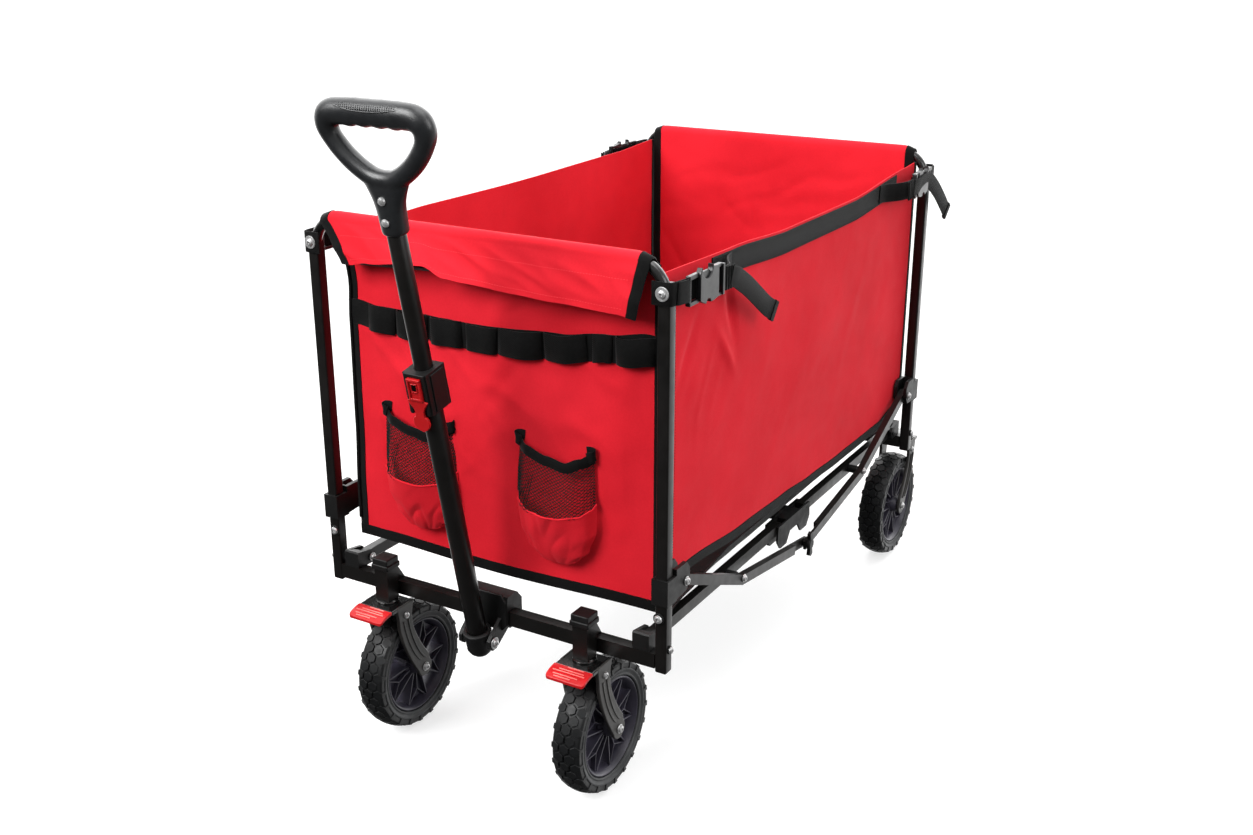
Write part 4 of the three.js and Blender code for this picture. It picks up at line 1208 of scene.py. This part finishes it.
def buckle(name, body, side, sign, node):
    """A side-release buckle: ladder bars at both ends, a notched body, and the prong inside it."""
    parts = Piece()

    def block(x0, x1, y0, y1, z0, z1):
        parts.box(sorted((side * x0, side * x1)), sorted((sign * y0, sign * y1)), (z0, z1))

    def arc(y, z, radius, start, end, steps=12):
        turns = [math.radians(start + (end - start) * k / steps) for k in range(steps + 1)]
        return [(y + radius * math.cos(a), z + radius * math.sin(a)) for a in turns]

    outline = [(398, 674), (398, 705), (396, 708), *arc(380, 710.5, 13, 10, -190), (364, 709.5), (352.5, 708), (351, 704),
               (351, 673), (353, 669.5), (365, 667.5), *arc(377, 667.5, 5.5, 180, 0, 8), (392, 671)]
    parts.prism([(sign * a, b) for a, b in outline], side * 273.6, side * 281.2)
    block(272.6, 278.4, 396, 419, 702.2, 707.4)
    block(272.6, 278.4, 396, 419, 671.6, 676.4)
    block(272.2, 277.6, 414, 419.5, 672, 707)
    block(273.2, 279.6, 339, 352, 703.4, 707.6)
    block(273.2, 279.6, 339, 352, 668.6, 672.6)
    block(274.4, 281.6, 336.5, 341.5, 669, 707)
    parts.prism(
        [(sign * a, b) for a, b in ((391, 703.5), (388, 706.5), (372, 706.5), (369, 703.5), (371, 697), (389, 697))],
        side * 274.6, side * 278.6
    )
    parts.make(f"buckle_{name}_body", body, BUCKLE_PLASTIC, bevel=1.3, segments=3, replaces=(node,))
    # Painted shade: a near-black box fills the buckle's slot where its shadowed inside shows.
    recess = Piece()
    recess.box(sorted((side * 271.6, side * 274.6)), sorted((sign * 339.5, sign * 414)), (677, 702))
    recess.make(f"buckle_{name}_recess", body, PAINTED_SHADE, bevel=0.4)


# ---- Front wall furniture ----
def belt():
    surface = end_wall_surface(True)
    rows = sum(END_ROWS)
    share = END_ROWS[0] / rows

    def on_wall(x, z):
        low = WALL_LOW - 4
        left = end_left(z, True)
        return surface((x - left) / (end_right(z, True) - left), share * (z - low) / (HOOP_TOP - 8 - low))

    def height(x):
        return table_value([(-230, 604), (-165, 599), (0, 598), (115, 603), (180, 611), (246, 620)], x)

    base, loops, thread = Piece(), Piece(), Piece()
    line = [-214 + 459 * k / 120 for k in range(121)]
    base.band([on_wall(x, height(x)) + Vector((0, -1.8, 0)) for x in line], 34, 1.8)
    gaps = ((-180, -136, 5, 0), (-132, -84, 8, -1), (-78, -30, 7, 1), (-22, 22, 5, -1), (26, 88, 8, 0), (92, 151, 6, 0),
            (160, 186, 3, 0), (192, 244, 10, -3.5))
    for k, (a, b, high, drop) in enumerate(gaps):
        path, lean = [], 0.05 * math.sin(2.3 * k)
        for j in range(19):
            t = j / 18
            x = a + (b - a) * t
            rise = high * (math.sin(math.pi * t) ** 0.42) * (1 + 0.16 * math.sin(5 * t + k))
            path.append(
                on_wall(x, height(x)) + Vector(
                    (0, -3.4 - rise, drop * math.sin(math.pi * t) + 0.8 * math.sin(4 * t + 2 * k))
                )
            )
        loops.band(path, 34.5, 1.6, (lean, 0.04 * (-1) ** k, 1))
        for x in (a + 1.5, b - 1.5):
            p = on_wall(x, height(x))
            stitch_row(thread, [p + Vector((0, -4.6, -14)), p + Vector((0, -4.6, 14))], 2.2, 1.3, 0.35)
    base.make("belt_base", "front_frame", WEBBING, angle=60)
    loops.make("belt_loops", "front_frame", WEBBING, angle=60)
    thread.make("belt_stitching", "front_frame", BLACK_THREAD)


def pocket(label, x):
    body = "front_frame"
    face = -440.5
    half = 55

    def width(v):
        return table_value([(0, 32), (0.2, 47), (0.55, 57), (1, 58)], v)

    def lip(u):
        return table_value([(0, 411), (0.06, 404), (0.28, 394), (0.6, 393), (0.86, 398), (0.96, 405), (1, 413)], u)

    def pouch(u, v):
        low = 321 + 9 * abs(2 * u - 1) ** 2.5
        z = low + (lip(u) - low) * v
        side = math.sin(math.pi * u)
        deep = (3 + 27 * side**0.55 * (0.10 + 0.90 * v**0.8)) * min(1, 12 * u + 0.12, 12 * (1 - u) + 0.12)
        crumple = 3.4 * crease(u * 110, z, 1.2, 60, 24, 51.3 + x) * (1 - 0.6 * v)
        crumple += 2.0 * fold_noise(u * 110, z, 0.8, 60, 20, 11.3 + x)
        return Vector((x + (2 * u - 1) * width(v), face - deep + crumple * side, z))

    panel = sheet_mesh(f"pocket_{label}_pouch", 54, 40, pouch, 1.3, body, RED_CLOTH, replaces=(f"pocket_{label}",))
    hem = Piece()
    hem.band([pouch(k / 54, 0.985) + Vector((0, -0.3, 0)) for k in range(55)], 2.2, 1.7)
    hem.make(f"pocket_{label}_hem", body, RED_CLOTH, angle=60)

    def top(u):
        return table_value([(0, 482), (0.12, 475), (0.45, 466), (0.68, 461), (0.88, 470), (1, 477)], u)

    def veil(u, v):
        lower = lip(u) - 3
        z = lower + (top(u) - lower) * v
        side = math.sin(math.pi * u) ** 0.7
        deep = 7 + 17 * side * (1 - v) ** 0.8 + 4 * side + 2.5 * math.sin(9 * u) * (1 - v) * side
        deep *= min(1, 6 * u + 0.1, 6 * (1 - u) + 0.1)
        gather = 5 * (1 - v) * bell(u, 0.1, 0.14)
        return Vector((x + (2 * u - 1) * (half + 1.5 * (1 - v)) - gather, face - deep, z))

    net = Piece()
    columns, rows = 20, 17
    cells = [[veil((i / columns) ** 1.12, j / rows) for i in range(columns + 1)] for j in range(rows + 1)]
    up = (0, -1, 0)
    thread = [(0.5, 0), (0, 0.5), (-0.5, 0), (0, -0.5)]
    for start in range(-rows, columns + 1):
        for direction in (1, -1):
            line = []
            for j in range(rows + 1):
                i = start + j if direction > 0 else columns - (start + j)
                if 0 <= i <= columns:
                    line.append(cells[j][i])
            if len(line) > 1:
                net.sweep(line, lambda i: thread, up)
    for k in range(7):
        spread = 0.02 + 0.035 * k
        net.sweep(
            [veil(spread + 0.05 * t, 0.02 + 0.1 * k * t) for t in [j / 8 for j in range(9)]], lambda i: thread, up
        )
    net.make(f"pocket_{label}_net", body, NET, angle=80)
    band = Piece()
    edge = [veil(k / 44, 0.93) + Vector((0, -1.0, 0)) for k in range(45)]
    band.band(edge, 13.5, 2.2)
    for u, way in ((0.0, 1), (1.0, -1)):
        p = veil(u, 0.95)
        curl = [
            p + Vector((way * a, -b, c)) for a, b,
            c in ((6, 6, -1), (1, 5.5, 1), (-1.5, 3, 3), (0, 0.4, 4.5), (5, 0, 5.5), (10, 0.2, 5))
        ]
        band.band(smooth_path(curl, 4), 14, 2.0)
    band.make(f"pocket_{label}_band", body, BINDING, angle=60)


# ---- Floor ----
def floor():
    for end, sign, body in ENDS:
        board = Piece()
        outline = rounded_square(1, 0.06, 5)
        ring = [(a * 185, b * 162) for a, b in outline]
        centre = Vector((0, sign * 188, 0))
        levels = [(0.985, 244.6), (1.0, 246.4), (0.995, 249.2), (0.96, 251.2), (0.6, 252.2), (0.25, 252.5)]
        points = [centre + Vector((a * s, b * s, z)) for s, z in levels for a, b in ring]
        board.rings(points, len(ring))
        obj = board.make(f"floor_pad_{end}", f"floor_{end}", BLACK_CLOTH, bevel=0.6, replaces=(f"floor_board_{end}",))

        def liner(u, v, outer=358, inner=1):
            y = sign * (outer - (outer - inner) * v)
            rise = table_value([(-420, 6), (-400, 9), (-347, 19), (-212, 36), (0, 36)], -abs(y))
            x = (2 * u - 1) * END_HALF
            t = max(0.0, (abs(x) - 222) / 19)
            end_rise = 20 * max(0.0, (abs(y) - 358) / 44)
            rise = max((rise - 1.5) * t**0.8, end_rise)
            return Vector((x, y, FLOOR_TOP + rise + 0.8 * fold_noise(x, y, 0.4, 60, 40, 61)))

        sheet = sheet_mesh(f"floor_liner_{end}", 60, 60, liner, 1.2, None, BLACK_CLOTH)
        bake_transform(sheet)
        edge = sheet_mesh(
            f"floor_liner_edge_{end}", 60, 10, lambda u, v: liner(u, v, 402, 358), 1.2, None, BLACK_CLOTH
        )
        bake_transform(edge)


def cad_finishes():
    """Gives the CAD nodes that show their materials."""
    groups = {
        STEEL: [
            "front_crossbar", "rear_crossbar", *[f"{part}_{c}" for part in ("floor_bar", "link") for c in CORNERS]
        ],
        PLASTIC: [
            "floor_hub", "handle_bracket", *[f"{part}_{c}" for part in ("floor_bracket", "slider") for c in CORNERS]
        ],
    }
    for material, names in groups.items():
        for name in names:
            obj = NODES[name]
            obj.data.materials.clear()
            obj.data.materials.append(material)
            soften(obj, 1.3 if material is STEEL else 1.1, 3, 40)


# ---- Camera, floor and light ----
FLOOR_DIFFUSE = 0.42
FLOOR_GLOW = 0.66
FLOOR_HALF = 60
BACKDROP_GLOW = 1.05
BACKDROP_R = 24
BACKDROP_TOP = 16
SKY = (0.1, 0.3, 0.8)  # below the horizon, just above it, overhead
# Soft bright sides of the room: (direction, strength, cosine where it begins)
BACKDROPS = (((-0.47, 0.81, 0.34), 3.2, 0.1), ((0.47, 0.81, -0.34), 0.7, 0.5))
# (name, place, aim, size, power)
LAMPS = (
    ("key", (-1.2, -2.6, 2.25), (0, 0, 0.6), 1.6, 114),
    ("over", (0.45, -0.48, 2.3), (0, 0.3, 0.6), 1.2, 16),
    ("fill", (3.0, -0.6, 1.8), (0, 0, 0.5), 1.8, 42),
)


def stage_piece(name, material, points, faces, roughness, diffuse, glow):
    """A plain pale surface that the part neither reflects nor is lit by."""
    mesh = bpy.data.meshes.new(name)
    mesh.from_pydata(points, [], faces)
    obj = bpy.data.objects.new(name, mesh)
    pale = Shader(material, roughness=roughness, specular=0.0)
    pale.main.inputs["Base Color"].default_value = (diffuse, diffuse, diffuse, 1)
    pale.main.inputs["Emission Color"].default_value = (1, 1, 1, 1)
    pale.main.inputs["Emission Strength"].default_value = glow
    mesh.materials.append(pale.material)
    bpy.context.scene.collection.objects.link(obj)
    obj.visible_glossy = False
    obj.visible_diffuse = False
    return obj


def stage_and_light():
    scene = bpy.context.scene
    camera = bpy.data.cameras.new("camera")
    camera.lens = 39.89
    camera.sensor_width = 36
    camera.clip_end = 50
    eye = bpy.data.objects.new("camera", camera)
    eye.location = at(983.11, -1771.34, 1091.52)
    eye.rotation_euler = (math.radians(90 - 19.94), 0, math.radians(30.23))
    scene.collection.objects.link(eye)
    scene.camera = eye

    reach = FLOOR_HALF
    stage_piece("studio_floor", "studio_white", [
        (-reach, -reach, 0), (reach, -reach, 0), (reach, reach, 0), (-reach, reach, 0)
    ],
                [(0, 1, 2, 3)], 0.9, FLOOR_DIFFUSE, FLOOR_GLOW)
    around = [(BACKDROP_R * math.cos(math.pi * k / 32), BACKDROP_R * math.sin(math.pi * k / 32)) for k in range(64)]
    backdrop = stage_piece(
        "studio_backdrop", "studio_backdrop_white", [(a, b, z) for z in (-0.01, BACKDROP_TOP) for a, b in around],
        [(k, (k + 1) % 64, 64 + (k + 1) % 64, 64 + k) for k in range(64)], 1.0, 0, BACKDROP_GLOW,
    )
    backdrop.visible_shadow = False

    world = bpy.data.worlds.new("studio")
    world.use_nodes = True
    tree = world.node_tree
    split = tree.nodes.new("ShaderNodeSeparateXYZ")
    tree.links.new(tree.nodes.new("ShaderNodeTexCoord").outputs["Generated"], split.inputs[0])
    ramp = tree.nodes.new("ShaderNodeValToRGB")
    ramp.color_ramp.elements[0].position = 0.0
    ramp.color_ramp.elements[0].color = (SKY[0], SKY[0], SKY[0], 1)
    ramp.color_ramp.elements[1].position = 1.0
    ramp.color_ramp.elements[1].color = (SKY[2], SKY[2], SKY[2], 1)
    middle = ramp.color_ramp.elements.new(0.12)
    middle.color = (SKY[1], SKY[1], SKY[1], 1)
    tree.links.new(split.outputs["Z"], ramp.inputs["Fac"])
    light = ramp.outputs["Color"]
    for side, strength, edge in BACKDROPS:
        toward = tree.nodes.new("ShaderNodeVectorMath")
        toward.operation = "DOT_PRODUCT"
        tree.links.new(split.inputs[0].links[0].from_socket, toward.inputs[0])
        toward.inputs[1].default_value = side
        lit = tree.nodes.new("ShaderNodeMapRange")
        lit.interpolation_type = "SMOOTHSTEP"
        tree.links.new(toward.outputs["Value"], lit.inputs["Value"])
        lit.inputs["From Min"].default_value = edge
        lit.inputs["From Max"].default_value = 0.98
        lit.inputs["To Max"].default_value = strength
        total = tree.nodes.new("ShaderNodeVectorMath")
        tree.links.new(light, total.inputs[0])
        tree.links.new(lit.outputs["Result"], total.inputs[1])
        light = total.outputs["Vector"]
    tree.links.new(light, tree.nodes["Background"].inputs["Color"])
    tree.nodes["Background"].inputs["Strength"].default_value = 1.0
    scene.world = world
    for name, place, aim, size, power in LAMPS:
        data = bpy.data.lights.new(name, "AREA")
        data.energy = power
        data.size = size
        lamp = bpy.data.objects.new(name, data)
        lamp.location = place
        lamp.rotation_euler = (Vector(aim) - Vector(place)).to_track_quat("-Z", "Y").to_euler()
        scene.collection.objects.link(lamp)
    scene.view_settings.view_transform = "Standard"


stage_and_light()
cad_finishes()
hoops()
frame_bolts()
stems()
running_gear()
handle()
front_and_rear_walls()
side_walls()
belt()
for label, x in POCKETS.items():
    pocket(label, x)
corner_straps()
floor()
for piece in SQUASHED:
    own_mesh(piece)
